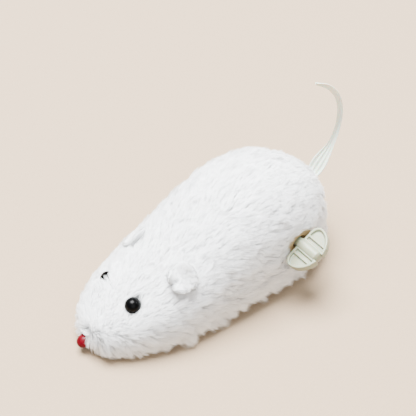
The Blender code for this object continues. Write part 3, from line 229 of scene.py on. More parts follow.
def pile_material():
    """Coloured by the map: its height runs from root to tip, painting a shade that darkens the strands towards
    their roots, and its width runs from strand to strand.
    """
    material, shader = new_material("pile", PILE_TIP, 0.85, Sheen_Weight=0.25, Sheen_Roughness=0.4)
    layout = add_node(material, "ShaderNodeUVMap", uv_map="OFBake")
    split = add_node(material, "ShaderNodeSeparateXYZ")
    # This ramp paints shade, darkening each strand from its tip down to its root.
    along = add_node(material, "ShaderNodeValToRGB")
    along.color_ramp.elements[1].position = 0.55
    tint = add_node(material, "ShaderNodeValToRGB")
    for ramp, colours in ((along, (PILE_ROOT_SHADE, PILE_TIP)), (tint, PILE_TINTS)):
        for stop, colour in zip(ramp.color_ramp.elements, colours):
            stop.color = (*colour, 1)
    mix = add_node(material, "ShaderNodeMix", data_type="RGBA", blend_type="MULTIPLY")
    mix.inputs["Factor"].default_value = 1
    link(material, layout.outputs["UV"], split.inputs["Vector"])
    link(material, split.outputs["Y"], along.inputs["Fac"])
    link(material, split.outputs["X"], tint.inputs["Fac"])
    link(material, along.outputs["Color"], mix.inputs["A"])
    link(material, tint.outputs["Color"], mix.inputs["B"])
    link(material, mix.outputs["Result"], shader.inputs["Base Color"])
    return material


def make_materials():
    """The record's slots, and the pile and lining that only this script makes."""
    return {
        "pile": pile_material(),
        "white_plush": grained("backing_cloth", (0.90, 0.90, 0.89), 0.95, (0.05, 0.6 * MM, 0.1 * MM)),
        "fibre_fill": grained("fibre_fill", (0.86, 0.86, 0.84), 1.0, (0.06, 1.5 * MM, 0.4 * MM)),
        "black_bead": grained("black_bead", (0.0006, 0.0006, 0.0007), 0.26, (0.2, 3 * MM, 0.0), IOR=1.16),
        "red_nose": grained("red_nose", (0.085, 0.0, 0.004), 0.34, (0.4, 1.1 * MM, 0.05 * MM), IOR=1.2),
        "pale_strip": grained(
            "pale_strip", (0.68, 0.77, 0.65), 0.38, (0.05, 1.2 * MM, 0.05 * MM), (8, 1, 1),
            Subsurface_Weight=0.3, Subsurface_Scale=1.0 * MM,
        ),
        # The key's ivory is painted darker and greener than the plastic is, standing in for the shade that the key
        # sits in.
        "ivory_plastic": grained(
            "ivory_plastic", (0.25, 0.27, 0.18), 0.36, (0.035, 2.5 * MM, 0.03 * MM),
            Subsurface_Weight=0.25, Subsurface_Scale=1.0 * MM,
        ),
        "tan_lining": grained("tan_lining", (0.34, 0.235, 0.11), 0.9, (0.25, 0.5 * MM, 0.15 * MM)),
        "grey_plastic": grained("grey_plastic", (0.22, 0.225, 0.235), 0.5, (0.06, 0.5 * MM, 0.04 * MM)),
        "case_plastic": grained("case_plastic", (0.62, 0.63, 0.64), 0.42, (0.04, 0.8 * MM, 0.03 * MM)),
        "gear_nylon": grained("gear_nylon", (0.82, 0.79, 0.68), 0.45, (0.04, 0.7 * MM, 0.02 * MM)),
        "steel": grained(
            "steel", (0.60, 0.60, 0.61), 0.27, (0.06, 0.3 * MM, 0.01 * MM), (0.1, 1, 1), Metallic=1,
        ),
        "spring_steel": grained(
            "spring_steel", (0.20, 0.23, 0.30), 0.26, (0.12, 0.4 * MM, 0.01 * MM), (0.1, 1, 1), Metallic=1,
        ),
        "tyre_rubber": grained("tyre_rubber", (0.025, 0.025, 0.025), 0.85, (0.2, 0.4 * MM, 0.05 * MM)),
    }


# ---------------------------------------------------------------- mesh helpers
def add_object(name, data):
    obj = bpy.data.objects.new(name, data)
    bpy.context.scene.collection.objects.link(obj)
    return obj


def mesh_object(name, work, material, smooth_angle=None):
    """The bmesh as a new object, smooth shaded, with edges over smooth_angle kept sharp."""
    bmesh.ops.recalc_face_normals(work, faces=work.faces)
    mesh = bpy.data.meshes.new(name)
    work.to_mesh(mesh)
    work.free()
    mesh.shade_smooth()
    if smooth_angle is not None:
        mesh.set_sharp_from_angle(angle=math.radians(smooth_angle))
    mesh.materials.append(material)
    return add_object(name, mesh)


def arc(start, end, steps):
    """Angles from start to end."""
    return [start + (end - start) * k / steps for k in range(steps + 1)]


def bridge(work, near, far):
    """Joins two rings of vertices with faces."""
    for k in range(len(near)):
        m = (k + 1) % len(near)
        work.faces.new((near[k], near[m], far[m], far[k]))


def axes_at(place, x, y, z):
    """A frame at this place with these axes."""
    matrix = Matrix((x, y, z)).transposed().to_4x4()
    matrix.translation = place
    return matrix


def frame_at(place, outward):
    """A frame at this place whose local Z points outward."""
    side = UP.cross(outward).normalized()
    return axes_at(place, side, outward.cross(side), outward)


def circle(work, matrix, radius, height, steps):
    """A ring of vertices round the matrix's local Z."""
    turns = arc(0, 2 * math.pi, steps)[:-1]
    row = [Vector((radius * math.cos(turn), radius * math.sin(turn), height)) for turn in turns]
    return [work.verts.new(matrix @ point) for point in row]


def turned(name, profile, matrix, material, steps=48, smooth_angle=40):
    """A shape turned round the matrix's local Z. The (radius, height) profile starts and ends on the axis."""
    work = bmesh.new()
    top = work.verts.new(matrix @ Vector((0, 0, profile[0][1])))
    rings = [circle(work, matrix, radius, height, steps) for radius, height in profile[1:-1]]
    bottom = work.verts.new(matrix @ Vector((0, 0, profile[-1][1])))
    for near, far in zip(rings, rings[1:]):
        bridge(work, near, far)
    for k in range(steps):
        work.faces.new((top, rings[0][k], rings[0][(k + 1) % steps]))
        work.faces.new((bottom, rings[-1][(k + 1) % steps], rings[-1][k]))
    return mesh_object(name, work, material, smooth_angle)


def points_of(obj):
    co = np.empty(len(obj.data.vertices) * 3)
    obj.data.vertices.foreach_get("co", co)
    return co.reshape(-1, 3)


def unit(rows):
    return rows / np.maximum(np.linalg.norm(rows, axis=-1, keepdims=True), 1e-12)


def place_piece(piece, body, slot, *replaced):
    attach(piece, body)
    if replaced:
        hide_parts(*replaced)
    return piece


# ---------------------------------------------------------------- where things are
HEAD_MIDDLE_Z = 12 * MM
SPINE_REACH = 38 * MM
SPINE_Z = 17 * MM


def bead_of(node):
    """The centre, outward direction and radius of a bead on a stem."""
    co = points_of(frame["nodes"][node])
    middle = co.mean(0)
    axis = np.linalg.svd(co - middle)[2][0]
    inside = np.array((0, middle[1], HEAD_MIDDLE_Z))
    axis *= np.sign((middle - inside) @ axis)
    along = (co - middle) @ axis
    away = np.linalg.norm(co - middle - along[:, None] * axis, axis=1)
    radius = away.max()
    centre = middle + axis * (along.max() - radius)
    return Vector(centre), Vector(axis), float(radius)


KEY_JOINT = next(joint for joint in frame["joints"] if joint["name"] == "key_wind")
WINDING_AXIS = Vector(KEY_JOINT["pos_m"])
KEY_LOW, KEY_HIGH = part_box("winding_key")
BOW_START = KEY_HIGH.x - KEY_LENGTH
EYES = {side: bead_of(f"eye_{side}") for side in SIDES}
NOSE_LOW, NOSE_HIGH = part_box("nose")
NOSE_FRONT = Vector((0, NOSE_LOW.y, NOSE_HIGH.z - NOSE_HEIGHT / 2))
BODY_LOW, BODY_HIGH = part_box("plush_cover")

# Where the pile changes: along Y, up Z, by the height of the surface's normal, or away from the nose.
FACE_TO_BACK = (BODY_LOW.y + 4 * MM, -22 * MM)
HEM_TO_FLANK = (4 * MM, 18 * MM)
UNDER_TO_HEM = (-0.9, -0.5)
UNDER_TO_SIDE = (-0.95, -0.6)
NOSE_TO_FACE = (3 * MM, 7 * MM)
REGIONS = ("head", "neck", "shoulder", "middle", "hip", "rump")
REGION_ENDS = (-40 * MM, -20 * MM, 0.0, 20 * MM, 38 * MM)


def off_arbor(place):
    """How far places are from the axis that the key turns on."""
    return np.hypot(place[..., 1] - WINDING_AXIS.y, place[..., 2] - WINDING_AXIS.z)


# ---------------------------------------------------------------- pile
def area_vectors(points, triangles):
    """Each triangle's normal, twice as long as its area."""
    corner = points[triangles]
    return np.cross(corner[:, 1] - corner[:, 0], corner[:, 2] - corner[:, 0])


def outer_surface():
    """The cover's outer skin as (points, triangles, normals), with the holes' walls left out."""
    work = bmesh.new()
    work.from_mesh(frame["nodes"]["plush_cover"].data)
    bmesh.ops.remove_doubles(work, verts=work.verts, dist=1e-6)
    bmesh.ops.triangulate(work, faces=work.faces)
    for face in list(work.faces):
        centre = face.calc_center_median()
        spine = Vector((0, min(max(centre.y, -SPINE_REACH), SPINE_REACH), SPINE_Z))
        inward = face.normal.dot((centre - spine).normalized()) < 0.1
        sideways = Vector((0, centre.y, centre.z)) - Vector((0, WINDING_AXIS.y, WINDING_AXIS.z))
        in_hole = centre.x > 0 and sideways.length < KEY_HOLE_RADIUS + 0.2 * MM
        in_socket = any((centre - at).length < radius + 0.5 * MM for at, _, radius in EYES.values())
        if inward or in_hole or in_socket:
            work.faces.remove(face)
    bmesh.ops.delete(work, geom=[v for v in work.verts if not v.link_faces], context="VERTS")
    work.verts.index_update()
    points = np.array([v.co for v in work.verts])
    triangles = np.array([[v.index for v in face.verts] for face in work.faces])
    work.free()
    facing = area_vectors(points, triangles)
    normals = np.zeros_like(points)
    for k in range(3):
        np.add.at(normals, triangles[:, k], facing)
    return points, triangles, unit(normals)


def scatter(surface, count, random):
    """Even random places on a surface, with their normals, and its area."""
    points, triangles, normals = surface
    area = np.linalg.norm(area_vectors(points, triangles), axis=1) / 2
    chosen = random.choice(len(triangles), count, p=area / area.sum())
    share = random.random((count, 2))
    folded = share.sum(1) > 1
    share[folded] = 1 - share[folded]
    weights = np.column_stack((1 - share.sum(1), share))[..., None]
    place = (points[triangles[chosen]] * weights).sum(1)
    return place, unit((normals[triangles[chosen]] * weights).sum(1)), area.sum()


def smoothstep(value, low, high):
    t = np.clip((value - low) / (high - low), 0, 1)
    return t * t * (3 - 2 * t)


def pile_length(place, normal):
    """Short on the face and below, long along the hem, with tufts round the nose and over the right eye."""
    back = smoothstep(place[:, 1], *FACE_TO_BACK)
    length = FACE_PILE + (PILE_LENGTH - FACE_PILE) * back
    hem = (1 - smoothstep(place[:, 2], *HEM_TO_FLANK)) * smoothstep(normal[:, 2], *UNDER_TO_HEM)
    length += (HEM_PILE - length) * hem * (0.4 + 0.6 * back)
    below = 1 - smoothstep(normal[:, 2], *UNDER_TO_SIDE)
    nose = np.linalg.norm(place - np.array(NOSE_FRONT), axis=1)
    length += NOSE_TUFT * (1 - smoothstep(nose, *NOSE_TO_FACE)) + BROW_TUFT * right_brow(place)
    return length * (1 - (1 - BELOW_SHARE) * below)


def root_depth(place, normal):
    """How far under the surface the pile is rooted."""
    return PILE_DEPTH_SHARE * np.minimum(pile_length(place, normal), PILE_LENGTH)


def right_brow(place):
    """How much a place belongs to the tuft that hangs over the right eye."""
    centre, _, radius = EYES["right"]
    away = np.linalg.norm(place - np.array(centre), axis=1)
    return (1 - smoothstep(away, radius, 2.2 * radius)) * smoothstep(place[:, 0] - centre.x, -1 * MM, 2 * MM)


def comb_direction(place, normal):
    """Combed from nose to tail, downwards on the flanks, the rump and the hem."""
    side = 1 - np.clip(normal[:, 2], 0, 1)
    rump = smoothstep(normal[:, 1], 0.3, 0.95)
    hem = 1 - smoothstep(place[:, 2], 2 * MM, 14 * MM)
    across, along, high = (place / np.array(WAVE_SIZES)).T
    waves = WAVE_COMB * np.sin(along + 1.3) * np.sin(high + across)
    down = FLANK_COMB * side + RUMP_COMB * rump + HEM_COMB * hem + waves
    wish = np.column_stack((1.2 * normal[:, 0] * hem, 1 - 0.6 * rump - 0.4 * hem, -down))
    wish += right_brow(place)[:, None] * np.array(BROW_COMB)
    return unit(wish - normal * (wish * normal).sum(1, keepdims=True))


def nearest(place, centres, batch=20_000):
    """For each place, the index of the nearest centre. Batches keep the memory small."""
    found = np.empty(len(place), int)
    for start in range(0, len(place), batch):
        part = place[start:start + batch]
        distance = (centres**2).sum(1) - 2 * part @ centres.T
        found[start:start + batch] = distance.argmin(1)
    return found


def lock_count(area, lock_area):
    """How many locks of this area cover the surface."""
    return max(4, int(area / lock_area))


def clump(paths, place, area, lock_area, pull, random):
    """Draws strands towards the middle one of their lock. Gives them, each one's lock and the lock count."""
    leaders = random.choice(len(place), min(lock_count(area, lock_area), len(place)), replace=False)
    mine = nearest(place, place[leaders])
    along = np.linspace(0, 1, paths.shape[1])[None, :, None]
    strength = (pull * random.uniform(0.6, 1, len(leaders)))[mine][:, None, None]
    leader = paths[leaders][mine]
    return paths + (leader - paths) * strength * along**1.4, mine, len(leaders)


def strands(
    place, normal, flow, length, depth, area, random, lean=PILE_LEAN, lock_area=LOCK_AREA, stand=0.0,
):
    """The points along each strand, from its root up to its tip. It leans half as much where stand is 1."""
    count = len(place)
    seeds = random.choice(count, lock_count(area, lock_area), replace=False)
    lock = nearest(place, place[seeds])
    lock_swing = random.normal(0, math.radians(LOCK_SWING), len(seeds))[lock]
    lock_lift = random.normal(0, math.radians(LOCK_LIFT), len(seeds))[lock]
    lock_length = random.normal(1, 0.10, len(seeds))[lock]
    swing = lock_swing + random.normal(0, math.radians(STRAND_SWING), count)
    across = np.cross(normal, flow)
    heading = flow * np.cos(swing)[:, None] + across * np.sin(swing)[:, None]
    length = length * lock_length * random.uniform(0.78, 1.12, count)
    paths = [place - normal * depth[:, None]]
    start, end = (math.radians(angle) for angle in lean)
    lift = lock_lift + random.normal(0, math.radians(STRAND_LIFT), count)
    for step in range(STRAND_STEPS):
        turn = (start + (end - start) * (step + 0.5) / STRAND_STEPS) * (1 - 0.5 * stand) + lift
        direction = normal * np.cos(turn)[:, None] + heading * np.sin(turn)[:, None]
        paths.append(paths[-1] + direction * (length / STRAND_STEPS)[:, None])
    return np.stack(paths, 1)


def ribbon_points(paths, side, width):
    """The corners of tapered ribbons: two at each level and one at the tip, none of them in the floor."""
    along = np.linspace(0, 1, paths.shape[1])[:-1]
    half = (width / 2)[:, None, None] * (1 - STRAND_TAPER * along**1.5)[None, :, None]
    rows = np.stack((paths[:, :-1] - side * half, paths[:, :-1] + side * half), 2)
    points = np.concatenate((rows.reshape(len(paths), -1, 3), paths[:, -1:]), 1)
    points[..., 2] = np.maximum(points[..., 2], FLOOR_Z + FLOOR_GAP)
    return points.reshape(-1, 3)


def ribbon_faces(count, levels):
    """The ribbons' faces, as the points round all of them in turn, and the number round each."""
    each = 2 * (levels - 1) + 1
    quads = np.array([[2 * k, 2 * k + 1, 2 * k + 3, 2 * k + 2] for k in range(levels - 2)])
    last = np.array([2 * (levels - 2), 2 * (levels - 2) + 1, each - 1])
    offsets = (np.arange(count) * each)[:, None]
    loops = np.concatenate((quads.reshape(1, -1) + offsets, last[None] + offsets), 1)
    return loops.ravel(), np.tile([4] * (levels - 2) + [3], count)


def ribbon_map(tint, levels):
    """Each point's place on the map that the pile's material reads, with a column for each tint."""
    along = np.linspace(0, 1, levels)
    height = np.append(np.repeat(along[:-1], 2), 1.0)
    left = np.append(np.tile((0.0, 1.0), levels - 1), 0.5)
    column = (tint[:, None] * (TINT_COLUMNS - 1)).round() / TINT_COLUMNS
    u = column + (0.1 + 0.8 * left[None]) / TINT_COLUMNS
    return np.stack((u, np.broadcast_to(0.02 + 0.96 * height, u.shape)), 2).reshape(-1, 2)


def strand_mesh(name, paths, normal, width, tint, material, random):
    """A ribbon along each path, shaded almost as the surface that it covers."""
    count, levels = paths.shape[:2]
    run = unit(paths[:, 1:] - paths[:, :-1])
    side = unit(np.cross(run, normal[:, None, :]))
    roll = random.normal(0, math.radians(STRAND_ROLL), count)[:, None, None]
    side = side * np.cos(roll) + np.cross(run, side) * np.sin(roll)
    points = ribbon_points(paths, side, width)
    loops, sizes = ribbon_faces(count, levels)
    mesh = bpy.data.meshes.new(name)
    mesh.vertices.add(len(points))
    mesh.vertices.foreach_set("co", points.astype(np.float32).ravel())
    mesh.loops.add(len(loops))
    mesh.loops.foreach_set("vertex_index", loops.astype(np.int32))
    mesh.polygons.add(len(sizes))
    mesh.polygons.foreach_set("loop_start", np.concatenate(([0], np.cumsum(sizes)[:-1])).astype(np.int32))
    mesh.polygons.foreach_set("use_smooth", np.ones(len(sizes), bool))
    mesh.update(calc_edges=True)
    layer = mesh.uv_layers.new(name="OFBake", do_init=False)
    layer.uv.foreach_set("vector", ribbon_map(tint, levels)[loops].astype(np.float32).ravel())
    soft = unit(np.repeat(normal[:, None], levels - 1, 1) - STRAND_SHADING * np.cross(side, run))
    soft = np.concatenate((np.repeat(soft, 2, 1), soft[:, -1:]), 1).reshape(-1, 3)
    mesh.normals_split_custom_set_from_vertices(soft.astype(np.float32).tolist())
    mesh.materials.append(material)
    return add_object(name, mesh)


def keep_clear(place):
    """True where pile grows: not over the eyes, the nose or the key's hole."""
    clear = np.ones(len(place), bool)
    for centre, _, radius in EYES.values():
        clear &= np.linalg.norm(place - np.array(centre), axis=1) > radius + EYE_GAP
    nose = (place - np.array(NOSE_FRONT)) / np.array((1.0, 1.6, 1.0))
    clear &= np.linalg.norm(nose, axis=1) > NOSE_PATCH
    return clear & ((off_arbor(place) > KEY_HOLE_RADIUS - 0.2 * MM) | (place[:, 0] < 0))


def open_key_hole(paths):
    """Shortens the strands that would lie over the hole round the key's shaft."""
    covers = (off_arbor(paths) < KEY_HOLE_RADIUS + 0.9 * MM) & (paths[..., 0] > 0)
    first = np.where(covers.any(1), covers.argmax(1), paths.shape[1])
    keep = np.clip((first - 0.6) / (paths.shape[1] - 1), 0.05, 1)
    paths[:] = paths[:, :1] + (paths - paths[:, :1]) * keep[:, None, None]


def press_behind_key(paths):
    """Presses the pile flat where the key's bow turns over it."""
    limit = BOW_START - KEY_GAP + np.maximum(0, off_arbor(paths) - KEY_SPAN / 2 - 0.5 * MM)
    paths[..., 0] = np.minimum(paths[..., 0], limit)


def build_coat(materials):
    """The pile over the body, a piece for each region and side. Gives the surface that it grows on."""
    random = np.random.default_rng(SEED)
    surface = outer_surface()
    place, normal, area = scatter(surface, STRANDS, random)
    grown = keep_clear(place)
    place, normal = place[grown], normal[grown]
    length = pile_length(place, normal)
    flow = comb_direction(place, normal)
    depth = root_depth(place, normal)
    paths = strands(place, normal, flow, length, depth, area, random, stand=right_brow(place))
    paths, wisp, wisps = clump(paths, place, area, WISP_AREA, WISP_PULL, random)
    paths = clump(paths, place, area, LOCK_AREA, LOCK_PULL, random)[0]
    open_key_hole(paths)
    press_behind_key(paths)
    tint = 0.5 * random.random(wisps)[wisp] + 0.5 * random.random(len(place))
    width = STRAND_WIDTH * random.uniform(0.7, 1.2, len(place))
    band = np.digitize(place[:, 1], REGION_ENDS)
    for k, region in enumerate(REGIONS):
        for side, chosen in zip(SIDES, (place[:, 0] >= 0, place[:, 0] < 0)):
            mine = (band == k) & chosen
            rows = (part[mine] for part in (paths, normal, width, tint))
            coat = strand_mesh(f"pile_{region}_{side}", *rows, materials["pile"], random)
            place_piece(coat, "chassis", "white_plush")
    return surface


def build_backing(surface, materials):
    """The cloth under the pile: the outer surface, drawn in to where the pile is rooted."""
    points, triangles, normals = surface
    depth = root_depth(points, normals) + 0.2 * MM
    inner = points - normals * depth[:, None]
    mesh = bpy.data.meshes.new("backing_cloth")
    mesh.from_pydata(inner.tolist(), [], triangles.tolist())
    mesh.shade_smooth()
    mesh.materials.append(materials["white_plush"])
    cloth = add_object("backing_cloth", mesh)
    place_piece(cloth, "chassis", "white_plush", "plush_cover")
    thick = cloth.modifiers.new("thickness", "SOLIDIFY")
    thick.thickness = 0.4 * MM
    thick.offset = -1


# ---------------------------------------------------------------- ears
def ear_frame(side):
    """Local X across the flap, Y the way that its hollow faces, Z from root to tip."""
    low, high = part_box(f"ear_{side}")
    sign = 1 if side == "left" else -1
    lean = Vector((sign * EAR_LEAN[0], *EAR_LEAN[1:])).normalized()
    root = (low + high) / 2 - lean * EAR_HEIGHT / 2
    if side == "right":
        lean = (lean + Vector(RIGHT_EAR_DROOP)).normalized()
        root -= lean * RIGHT_EAR_SHIFT
    facing = Vector((sign * EAR_FACING[0], *EAR_FACING[1:]))
    facing = (facing - lean * facing.dot(lean)).normalized()
    return axes_at(root + lean * EAR_HEIGHT / 2, facing.cross(lean), facing, lean)


def ear_point(ring, turn, level, fold):
    """A place on the flap: ring 0 is its middle and 1 its rim, turn 0 its tip. Its root bends by fold."""
    across = ring * math.sin(turn)
    up = ring * math.cos(turn)
    pinch = 1 - 0.45 * max(0.0, -up) ** 1.5
    cup = -EAR_HOLLOW * (1 - ring**2) + EAR_CURL * abs(across) * max(0.0, 0.35 - up)
    cup += fold * abs(across) * max(0.0, -0.3 - up)
    wide, high = (size * EAR_FLAP_SHARE / 2 for size in (EAR_WIDTH, EAR_HEIGHT))
    return Vector((across * pinch * wide, cup + level, up * high))


def build_flap(side, matrix, material):
    """The ear's cloth: a cupped round flap, thinner at its rim."""
    rings, steps = 7, 32
    turns = arc(0, 2 * math.pi, steps)[:-1]
    fold = EAR_FOLD[side]
    work = bmesh.new()
    rims = []
    for face in (EAR_THICKNESS / 2, -EAR_THICKNESS / 2):
        middle = work.verts.new(matrix @ ear_point(0, 0, face, fold))
        rows = []
        for i in range(1, rings + 1):
            level = face / 2 if i == rings else face
            rows.append([work.verts.new(matrix @ ear_point(i / rings, turn, level, fold)) for turn in turns])
        for k in range(steps):
            work.faces.new((middle, rows[0][k], rows[0][(k + 1) % steps]))
        for near, far in zip(rows, rows[1:]):
            bridge(work, near, far)
        rims.append(rows[-1])
    bridge(work, *rims)
    return mesh_object(f"ear_{side}_flap", work, material)


def build_ear(side, materials, random):
    """The flap and its short pile, combed outwards to the tip."""
    matrix = ear_frame(side)
    flap = build_flap(side, matrix, materials["white_plush"])
    place_piece(flap, "chassis", "white_plush", f"ear_{side}")
    flap.data.calc_loop_triangles()
    triangles = np.array([t.vertices[:] for t in flap.data.loop_triangles])
    normals = np.array([v.normal for v in flap.data.vertices])
    count = STRANDS // 10
    place, normal, area = scatter((points_of(flap), triangles, normals), count, random)
    lean = np.array(matrix.col[2][:3])
    centre = np.array(matrix.translation)
    wish = lean + 0.8 * unit(place - centre)
    flow = unit(wish - normal * (wish * normal).sum(1, keepdims=True))
    length = np.full(count, EAR_PILE)
    depth = np.zeros(count)
    paths = strands(place, normal, flow, length, depth, area, random, EAR_PILE_LEAN, EAR_LOCK_AREA)
    paths, wisp, wisps = clump(paths, place, area, WISP_AREA, WISP_PULL, random)
    tint = random.random(wisps)[wisp]
    width = STRAND_WIDTH * random.uniform(0.6, 1.0, count)
    fur = strand_mesh(f"ear_{side}_pile", paths, normal, width, tint, materials["pile"], random)
    place_piece(fur, "chassis", "white_plush")


# ---------------------------------------------------------------- eyes and nose
DOME = arc(0, math.pi / 2, 14)


def build_eye(side, materials):
    """A glossy domed bead with a flat collar, on its stem."""
    centre, outward, radius = EYES[side]
    if side == "right":
        centre = centre - outward * RIGHT_EYE_SINK
    front = [(radius * math.sin(turn), radius * math.cos(turn)) for turn in DOME]
    collar = [(radius, -0.3 * MM), (radius * 0.95, -0.5 * MM), (radius * 0.6, -1.2 * MM)]
    stem = [(STEM_RADIUS, -1.6 * MM), (STEM_RADIUS, -STEM_LENGTH), (0, -STEM_LENGTH)]
    profile = front + collar + stem
    bead = turned(f"eye_{side}_bead", profile, frame_at(centre, outward), materials["black_bead"])
    place_piece(bead, "chassis", "black_bead", f"eye_{side}")


def build_nose(materials):
    """A glossy red oval, domed in front, rounded at its rim."""
    outward = Vector(NOSE_OUTWARD).normalized()
    centre = NOSE_FRONT - outward * NOSE_DEPTH
    half = NOSE_WIDTH / 2
    profile = [(half * math.sin(turn) ** 0.92, NOSE_DEPTH * math.cos(turn)) for turn in DOME]
    profile += [(half * 0.95, -0.4 * MM), (half * 0.77, -0.9 * MM), (0, -1.0 * MM)]
    oval = Matrix.Diagonal((1, NOSE_HEIGHT / NOSE_WIDTH, 1, 1))
    nose = turned("nose_bead", profile, frame_at(centre, outward) @ oval, materials["red_nose"])
    place_piece(nose, "chassis", "red_nose", "nose")


# ---------------------------------------------------------------- tail
def curve_through(points, per_span):
    """A smooth curve through the points, as a Catmull-Rom spline."""
    found = []
    for i in range(len(points) - 1):
        before, start, end = points[max(i - 1, 0)], points[i], points[i + 1]
        after = points[min(i + 2, len(points) - 1)]
        for step in range(per_span):
            t = step / per_span
            weights = (-t + 2 * t**2 - t**3, 2 - 5 * t**2 + 3 * t**3, t + 4 * t**2 - 3 * t**3, t**3 - t**2)
            found.append(sum((w * row for w, row in zip(weights, (before, start, end, after))), Vector()) / 2)
    return [*found, points[-1]]


def build_tail(materials):
    """A thin strip, gathered into pleats where it leaves the rump, folded along its middle to the tip."""
    root = Vector((0, BODY_HIGH.y, TAIL_ROOT_Z))
    sideways = Vector((1, 0, 0))
    path = curve_through([root + Vector((0, y, z)) * MM for y, z in TAIL_OFFSETS], 9)
    count, across = len(path) - 1, 24
    work = bmesh.new()
    rings = []
    for i, centre in enumerate(path):
        share = i / count
        run = (path[min(i + 1, count)] - path[max(i - 1, 0)]).normalized()
        twist = math.radians(20 + 45 * share)
        flat = run.cross(sideways).normalized()
        wide = sideways * math.cos(twist) + flat * math.sin(twist)
        out = run.cross(wide).normalized()
        leaf = math.exp(-(((share - LEAF_PLACE) / LEAF_SPREAD) ** 2))
        tip = 1 - 0.6 * max(0.0, share - 0.9) / 0.1
        width = (TAIL_STRIP + (TAIL_LEAF - TAIL_STRIP) * leaf) * tip
        upper, lower = [], []
        for k in range(across + 1):
            u = k / across * 2 - 1
            gathered = TAIL_PLEAT * math.cos(u * 3.5 * math.pi) + TAIL_CROWN * (1 - u * u)
            lift = gathered * leaf + TAIL_FOLD * (1 - leaf) * (1 - 2 * abs(u))
            thick = (0.24 - 0.10 * u * u) * MM
            middle = centre + wide * (u * width / 2) + out * lift
            upper.append(middle + out * thick)
            lower.append(middle - out * thick)
        rings.append([work.verts.new(point) for point in upper + lower[::-1]])
    for near, far in zip(rings, rings[1:]):
        bridge(work, near, far)
    work.faces.new(rings[0][::-1])
    work.faces.new(rings[-1])
    tail = mesh_object("tail_strip", work, materials["pale_strip"], 60)
    place_piece(tail, "chassis", "pale_strip", "tail")


# ---------------------------------------------------------------- key
OUTWARDS = Vector((1, 0, 0))
KEY_START = Vector((KEY_LOW.x, WINDING_AXIS.y, WINDING_AXIS.z))


def key_outline(inset):
    """Half of the D-shaped bow in its own plane, across the arbor and then outwards, drawn in by inset."""
    half = KEY_SPAN / 2 - inset
    inner = KEY_HUB_RADIUS * 0.6 + inset
    heel = KEY_LENGTH * KEY_HEEL_SHARE
    corner = half * KEY_CORNER_SHARE
    crown = KEY_LENGTH - inset - heel
    start = half - corner
    outline = [(inner, inset)]
    for turn in arc(-math.pi / 2, 0, 8):
        outline.append((start + corner * math.cos(turn), heel + (heel - inset) * math.sin(turn)))
    for turn in arc(0, math.acos(inner / half), 20)[1:]:
        outline.append((half * math.cos(turn), heel + crown * math.sin(turn)))
    return outline


def key_wing(work, matrix):
    """A wing with a raised rim round the recessed panel on each face."""
    outer, slope = KEY_THICKNESS / 2, 0.15 * MM
    levels = ((KEY_RIM + slope, -KEY_WEB / 2), (KEY_RIM, -outer), (0, -outer))
    levels += tuple((inset, -height) for inset, height in levels[::-1])
    rings = []
    for inset, height in levels:
        rings.append([work.verts.new(matrix @ Vector((u, v, height))) for u, v in key_outline(inset)])
    for near, far in zip(rings, rings[1:]):
        bridge(work, near, far)
    work.faces.new(rings[0])
    work.faces.new(rings[-1])


def block(work, low, high, matrix):
    """A rib between two corners in the bow's plane."""
    made = bmesh.ops.create_cube(work, size=1)["verts"]
    size = [b - a for a, b in zip(low, high)]
    middle = [(a + b) / 2 for a, b in zip(low, high)]
    placed = matrix @ Matrix.Translation(middle) @ Matrix.Diagonal((*size, 1))
    bmesh.ops.transform(work, matrix=placed, verts=made)


def build_key_hole(materials):
    """The reinforced edge of the hole that the key's shaft passes through."""
    outer = KEY_HOLE_RADIUS - 0.3 * MM
    inner = KEY_HOLE_RADIUS - 1.1 * MM
    flange = KEY_HOLE_RADIUS + LINING_FLANGE
    top = BOW_START - LINING_SETBACK - KEY_LOW.x
    profile = (
        (inner, 0.0), (outer, 0.0), (outer, top - 0.5 * MM), (flange, top - 0.5 * MM),
        (flange, top - 0.2 * MM), (outer, top), (inner, top - 0.2 * MM),
    )
    matrix = frame_at(KEY_START, OUTWARDS)
    work = bmesh.new()
    rings = [circle(work, matrix, radius, height, 40) for radius, height in profile]
    for near, far in zip(rings, [*rings[1:], rings[0]]):
        bridge(work, near, far)
    lining = mesh_object("key_hole_lining", work, materials["tan_lining"], 40)
    place_piece(lining, "chassis", "white_plush")


def build_key(materials):
    """Two wings on a hub, each with a rim and a rib round the hollows of its faces."""
    across = Vector((0, math.cos(KEY_REST_ANGLE), math.sin(KEY_REST_ANGLE)))
    bow_place = Vector((BOW_START, WINDING_AXIS.y, WINDING_AXIS.z))
    bow = axes_at(bow_place, across, OUTWARDS, across.cross(OUTWARDS))
    top = KEY_THICKNESS / 2 - 0.05 * MM
    rib_low = (KEY_RIB_PLACE - KEY_RIB_WIDTH / 2, 0.6 * MM, -top)
    rib_high = (KEY_RIB_PLACE + KEY_RIB_WIDTH / 2, KEY_LENGTH * 0.93, top)
    work = bmesh.new()
    for side in (0, 1):
        matrix = bow @ Matrix.Rotation(math.pi * side, 4, "Y")
        key_wing(work, matrix)
        block(work, rib_low, rib_high, matrix)
    wings = mesh_object("key_bow", work, materials["ivory_plastic"], 35)
    bevel = wings.modifiers.new("soft_edges", "BEVEL")
    bevel.width = KEY_BEVEL
    bevel.segments = 3
    bevel.limit_method = "ANGLE"
    bevel.angle_limit = math.radians(40)
    place_piece(wings, "winding", "ivory_plastic", "winding_key")

    reach = KEY_HIGH.x - 1.0 * MM - KEY_LOW.x
    neck = KEY_HUB_RADIUS * 0.82
    profile = (
        (0, reach), (KEY_HUB_RADIUS * 0.45, reach), (neck, reach - 0.25 * MM),
        (KEY_HUB_RADIUS, reach - 0.8 * MM), (KEY_HUB_RADIUS, 4.4 * MM), (neck, 4.0 * MM),
        (neck, 0.3 * MM), (KEY_HUB_RADIUS * 0.72, 0), (0, 0),
    )
    hub = turned("key_hub", profile, frame_at(KEY_START, OUTWARDS), materials["ivory_plastic"])
    place_piece(hub, "winding", "ivory_plastic", "winding_key")


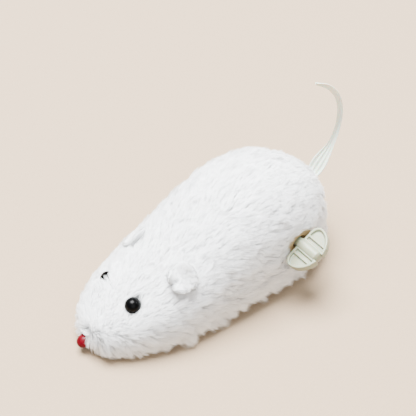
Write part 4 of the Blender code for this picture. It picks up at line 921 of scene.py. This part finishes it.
# ---------------------------------------------------------------- the stage
def build_camera():
    level = Vector((math.sin(CAMERA_AZIMUTH), -math.cos(CAMERA_AZIMUTH), 0))
    back = level * math.cos(CAMERA_ELEVATION) + UP * math.sin(CAMERA_ELEVATION)
    right = UP.cross(back).normalized()
    up = back.cross(right)
    aim = (right * AIM_RIGHT + up * AIM_UP - back).normalized()
    lens = bpy.data.cameras.new("camera")
    lens.lens = CAMERA_LENS
    lens.clip_start = 0.01
    camera = add_object("camera", lens)
    camera.location = CAMERA_TARGET + back * CAMERA_DISTANCE
    camera.rotation_euler = aim.to_track_quat("-Z", "Y").to_euler()
    bpy.context.scene.camera = camera


def add_light(name, place, size, power, colour=(1, 1, 1)):
    """A square lamp that faces the mouse."""
    data = bpy.data.lights.new(name, "AREA")
    data.size = size
    data.energy = power
    data.color = colour
    light = add_object(name, data)
    light.location = place
    light.rotation_euler = (-Vector(place)).to_track_quat("-Z", "Y").to_euler()


def build_stage():
    work = bmesh.new()
    bmesh.ops.create_grid(work, x_segments=1, y_segments=1, size=3)
    bmesh.ops.translate(work, verts=work.verts, vec=(0, 0, FLOOR_Z))
    pale = grained("pale_floor", FLOOR_COLOUR, 0.9, (0.02, 1.2 * MM, 0.15 * MM))
    mesh_object("floor", work, pale)
    add_light("window", (-0.3, 0.0, 1.5), size=1.0, power=205, colour=WINDOW_COLOUR)
    add_light("room", (1.0, -0.5, 0.9), size=1.2, power=12)
    add_light("back", (0.3, 1.1, 0.8), size=1.0, power=8)
    world = bpy.data.worlds.new("soft_room")
    world.use_nodes = True
    background = world.node_tree.nodes["Background"]
    background.inputs["Color"].default_value = (*ROOM_COLOUR, 1)
    background.inputs["Strength"].default_value = 0.75
    bpy.context.scene.world = world


def dress_nodes(materials):
    """Every node of the frame takes its slot's material."""
    for row in frame["record"]["subparts"]:
        node = frame["nodes"][row["node"]]
        node.data.materials.clear()
        node.data.materials.append(materials[row["material_slot"]])


def build():
    materials = make_materials()
    build_camera()
    build_stage()
    dress_nodes(materials)
    surface = build_coat(materials)
    build_backing(surface, materials)
    random = np.random.default_rng(SEED + 1)
    for side in SIDES:
        build_ear(side, materials, random)
        build_eye(side, materials)
    build_nose(materials)
    build_tail(materials)
    build_key_hole(materials)
    build_key(materials)


build()
